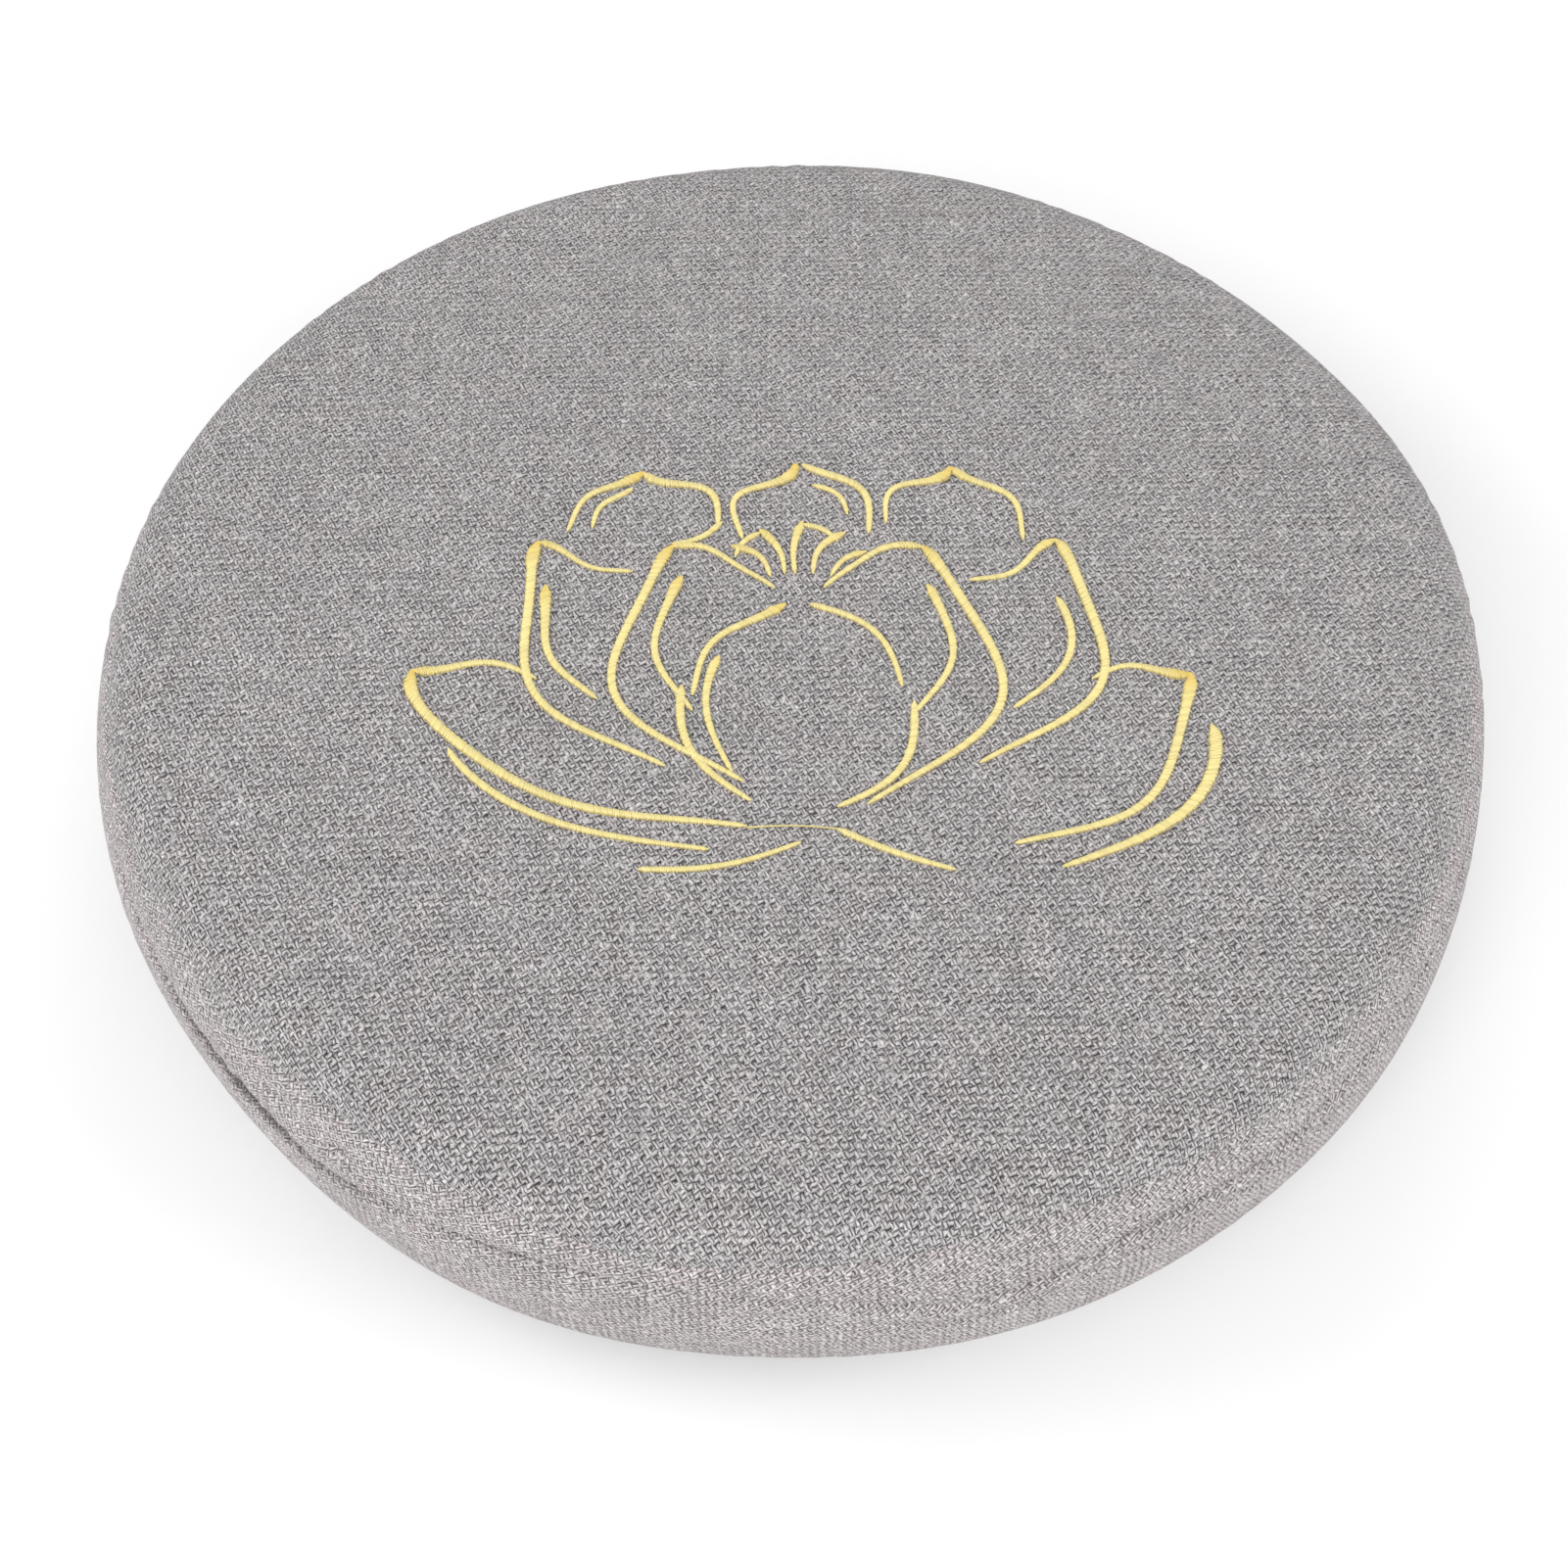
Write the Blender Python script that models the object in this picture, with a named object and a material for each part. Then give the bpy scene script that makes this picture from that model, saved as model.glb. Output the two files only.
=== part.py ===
"""A round boxed seat cushion, modelled as the filled body that it is when it lies flat.

The cover is cut as a round top panel, a narrow upper side band, a deep lower side band and a
round bottom panel. Filled, it is one soft body: an almost flat top with a low crown, a
rounded shoulder, sides that swell between three seams, and a flat foot to lie on.
"""

import math

import bmesh
import bpy

# Driving sizes, in metres.
DIAMETER = 0.400
HEIGHT = 0.080
CROWN = 0.004  # rise of the middle of the top above its rim
WIDEST_HEIGHT = 0.034  # height at which the side stands out furthest
SHOULDER_REACH = 0.022  # how far in from the side the top starts to roll over
FOOT_REACH = 0.034  # how far in from the side the flat foot ends
ROLL_POWER = 2.3  # squareness of both rolls, where 2 is a plain ellipse
RADIUS = DIAMETER / 2
RIM_HEIGHT = HEIGHT - CROWN

# Mesh steps.
AZIMUTH_STEPS = 96
TOP_RINGS = (0.35, 0.62, 0.84, 0.95)  # share of the way from the middle to the rim
SHOULDER_STEPS = 4
LOWER_BAND_STEPS = 5
FOOT_STEPS = 3

# The outline isn't a true circle. Each row adds a slow wave round it.
OUTLINE_COLUMNS = ("waves", "swell", "crest_deg")
OUTLINE_WAVES = (
    (2, 0.00045, -8),
    (3, 0.00111, 36),
    (4, 0.00027, 1),
    (5, 0.00034, 24),
    (6, 0.00060, 13),
    (7, 0.00011, 20),
    (8, 0.00027, 21),
    (9, 0.00029, 6),
)

# The three seams that run round the side. Each draws the cloth in along its line.
SEAM_COLUMNS = ("name", "height", "wander", "waves", "crest_deg", "pull", "reach")
SEAMS = (
    ("top_seam", 0.0675, 0.0006, 5, 30, 0.0016, 0.0024),
    ("band_seam", 0.0565, 0.0006, 4, 10, 0.0018, 0.0026),
    ("foot_seam", 0.0120, 0.0008, 5, 55, 0.0016, 0.0030),
)
LIP = 0.0024  # distance from a seam to the ring on each side of it

# Where a seam wanders off its line, or is drawn in deeper, round the front of the cushion.
TUCK_COLUMNS = ("seam", "azimuth_deg", "spread_deg", "lift", "pull")
TUCKS = (
    ("top_seam", -137, 5, -0.0040, 0.0004),
    ("top_seam", -98, 8, -0.0020, 0.0000),
    ("top_seam", -73, 8, 0.0025, 0.0000),
    ("top_seam", -53, 5, -0.0025, 0.0003),
    ("band_seam", -136.5, 14.5, -0.0096, 0.0008),
    ("band_seam", -127, 5.2, -0.0026, 0.0004),
    ("band_seam", -102, 12, 0.0024, 0.0000),
    ("band_seam", -77, 8, -0.0080, 0.0002),
    ("band_seam", -52, 8, -0.0025, 0.0002),
)

# Under the band seam the lower band is folded up on itself, which shows as a raised lap
# with a shallow groove below it, plainest at the front right.
LAP_AZIMUTH = math.radians(-62)
LAP_SPREAD = math.radians(24)
LAP_RISE = 0.0011
LAP_DROP = 0.0036  # from the band seam down to the crest of the lap
LAP_GROOVE_DROP = 0.0078
LAP_REACH = 0.0022

CLOTH_COLOUR = (0.37, 0.345, 0.345, 1.0)
CLOTH_ROUGHNESS = 0.92


def rows(columns, table):
    """A table's rows as dictionaries by column name."""
    return [dict(zip(columns, row)) for row in table]


def clear_scene():
    for obj in list(bpy.data.objects):
        bpy.data.objects.remove(obj)


def bell(offset, spread):
    return math.exp(-((offset / spread) ** 2))


def turn_between(azimuth, other):
    """The signed angle from one azimuth to another, the short way round."""
    return (azimuth - other + math.pi) % math.tau - math.pi


def swell(azimuth):
    """How far the outline stands outside a true circle at this azimuth."""
    return sum(
        row["swell"] * math.cos(row["waves"] * (azimuth - math.radians(row["crest_deg"])))
        for row in rows(OUTLINE_COLUMNS, OUTLINE_WAVES)
    )


def tucks_of(name, azimuth):
    """What this seam's tucks add to its height and its pull at this azimuth."""
    lift, pull = 0.0, 0.0
    for tuck in rows(TUCK_COLUMNS, TUCKS):
        if tuck["seam"] != name:
            continue
        turn = turn_between(azimuth, math.radians(tuck["azimuth_deg"]))
        share = bell(turn, math.radians(tuck["spread_deg"]))
        lift += share * tuck["lift"]
        pull += share * tuck["pull"]
    return lift, pull


def seams_at(azimuth):
    """Each seam's height, pull and reach at this azimuth, by name."""
    found = {}
    for seam in rows(SEAM_COLUMNS, SEAMS):
        lift, pull = tucks_of(seam["name"], azimuth)
        turn = seam["waves"] * (azimuth - math.radians(seam["crest_deg"]))
        found[seam["name"]] = {
            "height": seam["height"] + lift + seam["wander"] * math.cos(turn),
            "pull": seam["pull"] + pull,
            "reach": seam["reach"],
        }
    return found


def roll(reach, rise, angle):
    """A point on a quarter roll: its distance in from the side and its rise, with angle 0
    at the widest place and a quarter turn at the flat."""
    inward = reach * (1 - math.cos(angle) ** (2 / ROLL_POWER))
    return inward, rise * math.sin(angle) ** (2 / ROLL_POWER)


def side_point(height):
    """Radius and outward normal of the smooth side, before any seam draws it in."""
    upper = height >= WIDEST_HEIGHT
    reach = SHOULDER_REACH if upper else FOOT_REACH
    rise = RIM_HEIGHT - WIDEST_HEIGHT if upper else WIDEST_HEIGHT
    share = min(abs(height - WIDEST_HEIGHT) / rise, 1.0)
    angle = math.asin(share ** (ROLL_POWER / 2))
    inward, _ = roll(reach, rise, angle)
    out = max(math.cos(angle), 0.0) ** (2 * (ROLL_POWER - 1) / ROLL_POWER) / reach
    up = math.sin(angle) ** (2 * (ROLL_POWER - 1) / ROLL_POWER) / rise
    length = math.hypot(out, up)
    return RADIUS - inward, (out / length, (up if upper else -up) / length)


def pulled_in(height, azimuth, seams):
    """How far the seams, less the lap, draw the side in at this height."""
    depth = sum(
        seam["pull"] * bell(height - seam["height"], seam["reach"]) for seam in seams.values()
    )
    lap = bell(turn_between(azimuth, LAP_AZIMUTH), LAP_SPREAD)
    below = seams["band_seam"]["height"] - height
    crest = bell(below - LAP_DROP, LAP_REACH)
    groove = bell(below - LAP_GROOVE_DROP, LAP_REACH)
    return depth + lap * LAP_RISE * (groove - crest)


def roll_heights(start, end, steps):
    """Heights strictly between two heights on one roll, evenly spread by angle."""
    upper = start > WIDEST_HEIGHT
    rise = RIM_HEIGHT - WIDEST_HEIGHT if upper else WIDEST_HEIGHT
    angles = [
        math.asin(min(abs(height - WIDEST_HEIGHT) / rise, 1.0) ** (ROLL_POWER / 2))
        for height in (start, end)
    ]
    sign = 1 if upper else -1
    found = []
    for step in range(1, steps + 1):
        angle = angles[0] + (angles[1] - angles[0]) * step / (steps + 1)
        found.append(WIDEST_HEIGHT + sign * roll(0, rise, angle)[1])
    return found


def side_heights(seams):
    """The heights of the rings from the rim down to the floor at one azimuth."""
    top, band, foot = (seams[row[0]]["height"] for row in SEAMS)
    lip = min(LIP, (top - band) / 3)
    lap_end = band - LAP_GROOVE_DROP
    heights = [RIM_HEIGHT]
    heights += roll_heights(RIM_HEIGHT, top + LIP, SHOULDER_STEPS)
    heights += [top + LIP, top, top - lip, band + lip, band, band - LIP]
    heights += [band - LAP_DROP - LIP / 2, lap_end]
    heights += [
        lap_end + (foot + LIP - lap_end) * step / LOWER_BAND_STEPS
        for step in range(1, LOWER_BAND_STEPS)
    ]
    heights += [foot + LIP, foot, foot - LIP]
    heights += roll_heights(foot - LIP, 0.0, FOOT_STEPS)
    heights.append(0.0)
    return heights


def section(azimuth):
    """The cushion's section at one azimuth, as radius and height from the top's first ring
    to the edge of the flat foot."""
    seams = seams_at(azimuth)
    stretch = 1 + swell(azimuth) / RADIUS
    rim_radius = RADIUS - SHOULDER_REACH
    points = [
        (rim_radius * share * stretch, HEIGHT - CROWN * share**2) for share in TOP_RINGS
    ]
    for height in side_heights(seams):
        radius, (out, up) = side_point(height)
        depth = pulled_in(height, azimuth, seams) if 0 < height < RIM_HEIGHT else 0.0
        points.append(((radius - depth * out) * stretch, height - depth * up))
    return points


def ring_verts(mesh, sections, azimuths, ring):
    return [
        mesh.verts.new((
            points[ring][0] * math.cos(azimuth),
            points[ring][0] * math.sin(azimuth),
            points[ring][1],
        ))
        for points, azimuth in zip(sections, azimuths)
    ]


def centre_on_box(mesh):
    """Moves the body so that the middle of its box stands over the origin."""
    for axis in (0, 1):
        places = [vert.co[axis] for vert in mesh.verts]
        middle = (min(places) + max(places)) / 2
        for vert in mesh.verts:
            vert.co[axis] -= middle


def cushion_mesh():
    azimuths = [math.tau * step / AZIMUTH_STEPS for step in range(AZIMUTH_STEPS)]
    sections = [section(azimuth) for azimuth in azimuths]
    mesh = bmesh.new()
    rings = [
        ring_verts(mesh, sections, azimuths, ring) for ring in range(len(sections[0]))
    ]
    middle = mesh.verts.new((0.0, 0.0, HEIGHT))
    for step in range(AZIMUTH_STEPS):
        after = (step + 1) % AZIMUTH_STEPS
        mesh.faces.new((middle, rings[0][step], rings[0][after]))
        for upper, lower in zip(rings, rings[1:]):
            mesh.faces.new((upper[step], lower[step], lower[after], upper[after]))
    mesh.faces.new(reversed(rings[-1]))
    bmesh.ops.recalc_face_normals(mesh, faces=mesh.faces)
    centre_on_box(mesh)
    data = bpy.data.meshes.new("cushion")
    mesh.to_mesh(data)
    mesh.free()
    return data


def cloth_material():
    material = bpy.data.materials.new("grey_woven_cloth")
    material.use_nodes = True
    shader = material.node_tree.nodes["Principled BSDF"]
    shader.inputs["Base Color"].default_value = CLOTH_COLOUR
    shader.inputs["Roughness"].default_value = CLOTH_ROUGHNESS
    shader.inputs["Metallic"].default_value = 0.0
    return material


def build_cushion():
    data = cushion_mesh()
    data.materials.append(cloth_material())
    data.shade_smooth()
    cushion = bpy.data.objects.new("cushion", data)
    bpy.context.scene.collection.objects.link(cushion)
    return cushion


clear_scene()
build_cushion()
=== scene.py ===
# %% [markdown]
# # A round floor cushion in coarse grey cloth
# The real thing is a disc of soft filling in a sewn cover, with an open flower worked in gold
# thread on its top panel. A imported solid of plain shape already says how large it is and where
# it lies. This lesson loads that solid as a fixed frame and builds the looks inside its box:
# first the camera, then the stuffed body, the cover with its seams, the woven cloth, the
# embroidery, and last the studio.

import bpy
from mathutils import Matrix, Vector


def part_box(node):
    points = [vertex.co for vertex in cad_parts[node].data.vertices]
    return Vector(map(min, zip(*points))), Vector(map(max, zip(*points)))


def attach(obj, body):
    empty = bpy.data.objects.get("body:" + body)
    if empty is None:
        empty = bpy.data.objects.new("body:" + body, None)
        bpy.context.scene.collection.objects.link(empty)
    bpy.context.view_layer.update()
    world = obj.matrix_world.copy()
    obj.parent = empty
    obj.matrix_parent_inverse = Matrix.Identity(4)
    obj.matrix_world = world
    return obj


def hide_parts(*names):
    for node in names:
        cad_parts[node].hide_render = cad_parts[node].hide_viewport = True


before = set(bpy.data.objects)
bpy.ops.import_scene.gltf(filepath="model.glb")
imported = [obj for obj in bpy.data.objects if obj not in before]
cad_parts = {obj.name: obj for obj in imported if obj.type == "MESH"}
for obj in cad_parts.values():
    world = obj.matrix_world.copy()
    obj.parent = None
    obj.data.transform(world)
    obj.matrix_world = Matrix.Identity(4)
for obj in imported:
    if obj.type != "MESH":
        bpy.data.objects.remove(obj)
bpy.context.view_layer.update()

# %% Modules and units
import math

import bmesh
import bpy
import numpy as np
from mathutils import Vector
from mathutils.bvhtree import BVHTree

MM = 0.001
CUSHION = "cushion"
low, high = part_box(CUSHION)
HEIGHT = high.z
RADIUS = (high.x - low.x + high.y - low.y) / 4
print(f"cushion: {2 * RADIUS / MM:.1f} mm across, {HEIGHT / MM:.1f} mm thick")

# %% [markdown]
# ## The camera
# The cushion is seen from above its front edge, at about 56 degrees to the floor, from close
# by, so that the front of the top is drawn larger than the back. Making the camera first
# fixes which details matter: a yarn of the front edge is only a few dots wide.

# %% Place the camera
LENS_MM = 52.32
CAMERA_ELEVATION = math.radians(56.15)
CAMERA_DISTANCE = 0.6497
CAMERA_TARGET = Vector((-2.2 * MM, -35.4 * MM, HEIGHT / 2))


def make_camera():
    data = bpy.data.cameras.new("studio_camera")
    data.lens = LENS_MM
    camera = bpy.data.objects.new("studio_camera", data)
    bpy.context.scene.collection.objects.link(camera)
    back = Vector((0, -math.cos(CAMERA_ELEVATION), math.sin(CAMERA_ELEVATION)))
    camera.location = CAMERA_TARGET + back * CAMERA_DISTANCE
    camera.rotation_euler = (-back).to_track_quat("-Z", "Y").to_euler()
    bpy.context.scene.camera = camera
    return camera


print("camera stands at", [round(place, 3) for place in make_camera().location])

# %% [markdown]
# ## The stuffed body
# Filling pushes a sewn cover outwards until the cloth is tight, which is what gives a cushion
# its soft, slightly uneven roundness. It could be modelled by hand, but Blender's cloth with
# pressure does it as the real thing does: a copy of the solid, a little too small, is remeshed
# into even squares and blown up for a few frames. How far a point may move is capped, because
# the sponge inside holds the top nearly flat.

# %% A smaller copy of the solid, in even squares
SLACK = 2.2 * MM
VOXEL = 5 * MM


def linked(name, data):
    piece = bpy.data.objects.new(name, data)
    bpy.context.scene.collection.objects.link(piece)
    return piece


def evaluated_mesh(piece):
    depsgraph = bpy.context.evaluated_depsgraph_get()
    return bpy.data.meshes.new_from_object(piece.evaluated_get(depsgraph))


def smaller_copy(node, slack, voxel):
    mesh = bmesh.new()
    mesh.from_mesh(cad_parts[node].data)
    bmesh.ops.remove_doubles(mesh, verts=mesh.verts, dist=0.01 * MM)
    mesh.normal_update()
    places = [vert.co - vert.normal * slack for vert in mesh.verts]
    for vert, place in zip(mesh.verts, places):
        vert.co = place
    data = bpy.data.meshes.new(node + "_form")
    mesh.to_mesh(data)
    mesh.free()
    form = linked(node + "_form", data)
    remesh = form.modifiers.new("even_squares", "REMESH")
    remesh.mode = "VOXEL"
    remesh.voxel_size = voxel
    form.data = evaluated_mesh(form)
    form.modifiers.clear()
    return form


form = smaller_copy(CUSHION, SLACK, VOXEL)
print("form has", len(form.data.vertices), "points")

# %% Blow it up with cloth
PRESSURE = 4.0
CLOTH_STIFFNESS = 20
CLOTH_FRAMES = 20
MOST_SWELL = 3.6 * MM


def points_of(mesh):
    points = np.empty(len(mesh.vertices) * 3, np.float32)
    mesh.vertices.foreach_get("co", points)
    return points.reshape(-1, 3).astype(float)


def set_points(mesh, points):
    mesh.vertices.foreach_set("co", points.astype(np.float32).ravel())
    mesh.update()


def blow_up(piece, pressure, frames, most):
    rest = points_of(piece.data)
    cloth = piece.modifiers.new("cover_cloth", "CLOTH")
    cloth.settings.use_pressure = True
    cloth.settings.uniform_pressure_force = pressure
    cloth.settings.effector_weights.gravity = 0.0
    cloth.settings.tension_stiffness = CLOTH_STIFFNESS
    cloth.settings.compression_stiffness = CLOTH_STIFFNESS
    for number in range(1, frames + 1):
        bpy.context.scene.frame_set(number)
    swollen = points_of(evaluated_mesh(piece))
    piece.modifiers.clear()
    bpy.context.scene.frame_set(1)
    step = swollen - rest
    length = np.linalg.norm(step, axis=1, keepdims=True).clip(1e-9)
    set_points(piece.data, rest + step / length * most * np.tanh(length / most))
    return length


def add_subdivision(piece):
    subdivision = piece.modifiers.new("finer", "SUBSURF")
    subdivision.levels = subdivision.render_levels = 1
    piece.data = evaluated_mesh(piece)
    piece.modifiers.clear()


swell = blow_up(form, PRESSURE, CLOTH_FRAMES, MOST_SWELL)
print(f"swell before the cap, mm: mean {swell.mean() / MM:.1f}, most {swell.max() / MM:.1f}")
add_subdivision(form)
form_points = points_of(form.data)
print("form box, mm:", np.round((form_points.max(0) - form_points.min(0)) / MM, 1))

# %% [markdown]
# ## Reading the body's sections
# The remeshed form has no rows that a seam could follow. So its shape is read off with rays:
# straight down onto the top, and then fanning out from a ring inside the edge. Each azimuth
# gives one section, from the middle of the top, over the shoulder and down to the floor. A
# short filter takes away the ripple of the voxels and keeps the slow unevenness. Pressure alone
# rounds the shoulder too much for a cushion with sponge in it, so the same rays are cast on the
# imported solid, and the mean section of the form is moved onto that of the solid.

# %% Cast the rays
JOIN_AZIMUTH_DEG = 90  # the back, where the ends of the bands are joined
SPINE_RADIUS = 0.158
SPINE_HEIGHT = 0.038
RAY_AZIMUTHS = 144
TOP_RAYS = 48
FAN_RAYS = 181
RAY_START = 0.2

first_azimuth = math.radians(JOIN_AZIMUTH_DEG)
ray_azimuths = first_azimuth + np.linspace(0, math.tau, RAY_AZIMUTHS, endpoint=False)
top_radii = np.linspace(0, SPINE_RADIUS, TOP_RAYS)
fan_angles = np.linspace(math.pi / 2, -math.pi / 2, FAN_RAYS)


def top_height(tree, x, y):
    return tree.ray_cast(Vector((x, y, RAY_START)), Vector((0, 0, -1)))[0].z


def fan_distance(tree, azimuth, angle):
    across = Vector((math.cos(azimuth), math.sin(azimuth), 0))
    place = across * SPINE_RADIUS + Vector((0, 0, SPINE_HEIGHT))
    aim = across * math.cos(angle) + Vector((0, 0, math.sin(angle)))
    return tree.ray_cast(place, aim)[3]


def read_sections(piece):
    tree = BVHTree.FromObject(piece, bpy.context.evaluated_depsgraph_get())
    top = [
        [top_height(tree, r * math.cos(a), r * math.sin(a)) for r in top_radii]
        for a in ray_azimuths
    ]
    fan = [[fan_distance(tree, a, f) for f in fan_angles] for a in ray_azimuths]
    return np.array(top), np.array(fan)


top_read, fan_read = read_sections(form)
solid_top, solid_fan = read_sections(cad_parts[CUSHION])
print("rays cast:", 2 * (top_read.size + fan_read.size))

# %% Filter the readings and spread them over the cover's azimuths
AZIMUTH_STEPS = 600
SLOW_WAVES = 14
FAN_BLUR = 5
TOP_BLUR = 3
MEAN_BLUR = 7
LEVEL_REACH = 0.25 * SPINE_RADIUS  # the middle of the top is levelled out to here

azimuths = first_azimuth + np.linspace(0, math.tau, AZIMUTH_STEPS, endpoint=False)


def blurred(values, spread):
    """Smooths along the section, with the ends held by mirroring them."""
    reach = 4 * spread
    weights = np.exp(-0.5 * (np.arange(-reach, reach + 1) / spread) ** 2)
    padded = np.pad(values, ((0, 0), (reach, reach)), mode="reflect", reflect_type="odd")
    rows = [np.convolve(row, weights / weights.sum(), mode="valid") for row in padded]
    return np.array(rows)


def round_waves(values, waves, count):
    """Keeps the slow waves round the cushion and reads them at a finer step."""
    found = np.fft.rfft(values, axis=0)[: waves + 1]
    return np.fft.irfft(found, n=count, axis=0) * count / len(values)


def mean_step(form_read, solid_read):
    """From the form's mean section to the solid's, without the solid's own seams."""
    return blurred((solid_read - form_read).mean(axis=0, keepdims=True), MEAN_BLUR)


top_smooth = round_waves(blurred(top_read, TOP_BLUR), SLOW_WAVES, AZIMUTH_STEPS)
fan_smooth = round_waves(blurred(fan_read, FAN_BLUR), SLOW_WAVES, AZIMUTH_STEPS)
top_smooth += mean_step(top_read, solid_top)
fan_smooth += mean_step(fan_read, solid_fan)
middle_height = top_smooth[:, 0].mean()
level_share = np.clip(top_radii / LEVEL_REACH, 0, 1)
top_smooth = middle_height + (top_smooth - middle_height) * level_share

section_r = np.concatenate([
    np.tile(top_radii[:-1], (AZIMUTH_STEPS, 1)),
    SPINE_RADIUS + fan_smooth * np.cos(fan_angles),
], axis=1)
section_z = np.concatenate(
    [top_smooth[:, :-1], SPINE_HEIGHT + fan_smooth * np.sin(fan_angles)], axis=1
)

# %% Fit the sections to the frame's box
bottom = section_z[:, -1].mean()
section_z = (section_z - bottom) * HEIGHT / (section_z.max() - bottom)
mean_radius = section_r[:: AZIMUTH_STEPS // 4].max(axis=1).mean()
section_r *= RADIUS / mean_radius
section_z = np.maximum(section_z, 0)
section_z[:, -1] = 0
print(f"section stretched by {RADIUS / mean_radius:.4f} to the box")
print("top height at 0, 50, 100 and 150 mm out, mm:", [
    round(float(np.interp(r * MM, top_radii[:-1], section_z[0, : TOP_RAYS - 1])) / MM, 1)
    for r in (0, 50, 100, 150)
])

# %% [markdown]
# ## The seams of the cover
# The cover has a round top panel, a narrow upper side band, a deep lower band and a round
# bottom panel, so three seams run round it. Sewing draws the cloth in along each line. At the
# front left the middle seam dips and the upper band rolls over it, and at the front right the
# lower band is folded up on itself, which shows as a raised lap between two grooves. The seams
# could be cut into a finished mesh. Here tables hold where they run, and every ring of the mesh
# follows them, so that a groove is never crossed by a row of squares.

# %% Where the seams run
SEAM_COLUMNS = ("name", "height", "wander", "waves", "crest_deg")
SEAMS = (
    ("top_seam", 67.5, 0.6, 5, 30),
    ("band_seam", 56.5, 0.6, 4, 10),
    ("foot_seam", 12.0, 0.8, 5, 55),
)
DRIFT_COLUMNS = ("seam", "azimuth_deg", "spread_deg", "lift")
DRIFTS = (
    ("top_seam", -137, 5, -4.0),
    ("top_seam", -98, 8, -2.0),
    ("top_seam", -73, 8, 2.5),
    ("top_seam", -53, 5, -2.5),
    ("band_seam", -136.5, 14.5, -10.6),
    ("band_seam", -127, 5.2, -2.6),
    ("band_seam", -102, 12, 2.4),
    ("band_seam", -77, 8, -8.0),
    ("band_seam", -52, 8, -2.5),
)


def rows(columns, table):
    """A table's rows as dictionaries by column name."""
    return [dict(zip(columns, row)) for row in table]


def bell(offset, spread):
    return np.exp(-((offset / spread) ** 2))


def turn_from(azimuth_deg):
    """The signed angle from this azimuth, the short way round, for every azimuth step."""
    return (azimuths - math.radians(azimuth_deg) + math.pi) % math.tau - math.pi


def near(azimuth_deg, spread_deg):
    """1 at this azimuth, falling to 0 on both sides of it, for every azimuth step."""
    return bell(turn_from(azimuth_deg), math.radians(spread_deg))


def seam_heights(seam):
    turn = seam["waves"] * (azimuths - math.radians(seam["crest_deg"]))
    found = seam["height"] + seam["wander"] * np.cos(turn)
    for drift in rows(DRIFT_COLUMNS, DRIFTS):
        if drift["seam"] == seam["name"]:
            found = found + drift["lift"] * near(drift["azimuth_deg"], drift["spread_deg"])
    return found * MM


seam_height = {seam["name"]: seam_heights(seam) for seam in rows(SEAM_COLUMNS, SEAMS)}
for name, heights in seam_height.items():
    print(f"{name}: {heights.min() / MM:.1f} to {heights.max() / MM:.1f} mm above the floor")

# %% Lengths along each section, and where the seams cross it
steps = np.hypot(np.diff(section_r, axis=1), np.diff(section_z, axis=1))
section_s = np.concatenate([np.zeros((AZIMUTH_STEPS, 1)), np.cumsum(steps, axis=1)], axis=1)
fan_start = TOP_RAYS - 1


def length_at_height(step, height):
    falling = section_z[step, fan_start:][::-1]
    return np.interp(height, falling, section_s[step, fan_start:][::-1])


seam_s = {
    name: np.array([length_at_height(step, heights[step]) for step in range(AZIMUTH_STEPS)])
    for name, heights in seam_height.items()
}
edge_s = section_s[:, -1]
print("middle of the top to the top seam, mm:", round(seam_s["top_seam"].mean() / MM, 1))

# %% [markdown]
# ## Rows of the cover mesh
# The cover is one closed mesh of rings. Rings crowd together at the seams, where the cloth
# turns sharply, and spread out over the plain panels, so that the fine shapes get the squares.

# %% Share the rings out over the panels
CROWDING = 2.1
PANEL_COLUMNS = ("name", "rings", "starts_fine", "ends_fine")
PANELS = (
    ("top_panel", 58, False, True),
    ("upper_band", 16, True, True),
    ("lower_band", 42, True, True),
    ("bottom_roll", 16, True, False),
)
FLOOR_RINGS = 6


def crowded(count, starts_fine, ends_fine):
    """Shares from 0 to 1 that lie closer together at the fine ends."""
    share = np.linspace(0, 1, count + 1)
    if starts_fine and ends_fine:
        return 0.5 + 0.5 * np.tanh(CROWDING * (2 * share - 1)) / math.tanh(CROWDING)
    one_sided = 1 - np.sinh(CROWDING * (1 - share)) / math.sinh(CROWDING)
    return one_sided if ends_fine else 1 - one_sided[::-1]


stops = [np.zeros(AZIMUTH_STEPS), *seam_s.values(), edge_s]
ring_s, ring_panel = [], []
for panel, start, end in zip(rows(PANEL_COLUMNS, PANELS), stops, stops[1:]):
    shares = crowded(panel["rings"], panel["starts_fine"], panel["ends_fine"])
    ring_s += [start + (end - start) * share for share in shares[1:]]
    ring_panel += [panel["name"]] * panel["rings"]
ring_s = np.array(ring_s).T
print("rings:", ring_s.shape[1], "closest, mm:", round(np.diff(ring_s).min() / MM, 2))

# %% Place every ring on its section
def on_sections(values):
    return np.array([
        np.interp(ring_s[step], section_s[step], values[step]) for step in range(AZIMUTH_STEPS)
    ])


ring_r = on_sections(section_r)
ring_z = on_sections(section_z)
along_r = np.gradient(ring_r, axis=1)
along_z = np.gradient(ring_z, axis=1)
along_length = np.hypot(along_r, along_z).clip(1e-9)
out_r, out_z = -along_z / along_length, along_r / along_length

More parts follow.
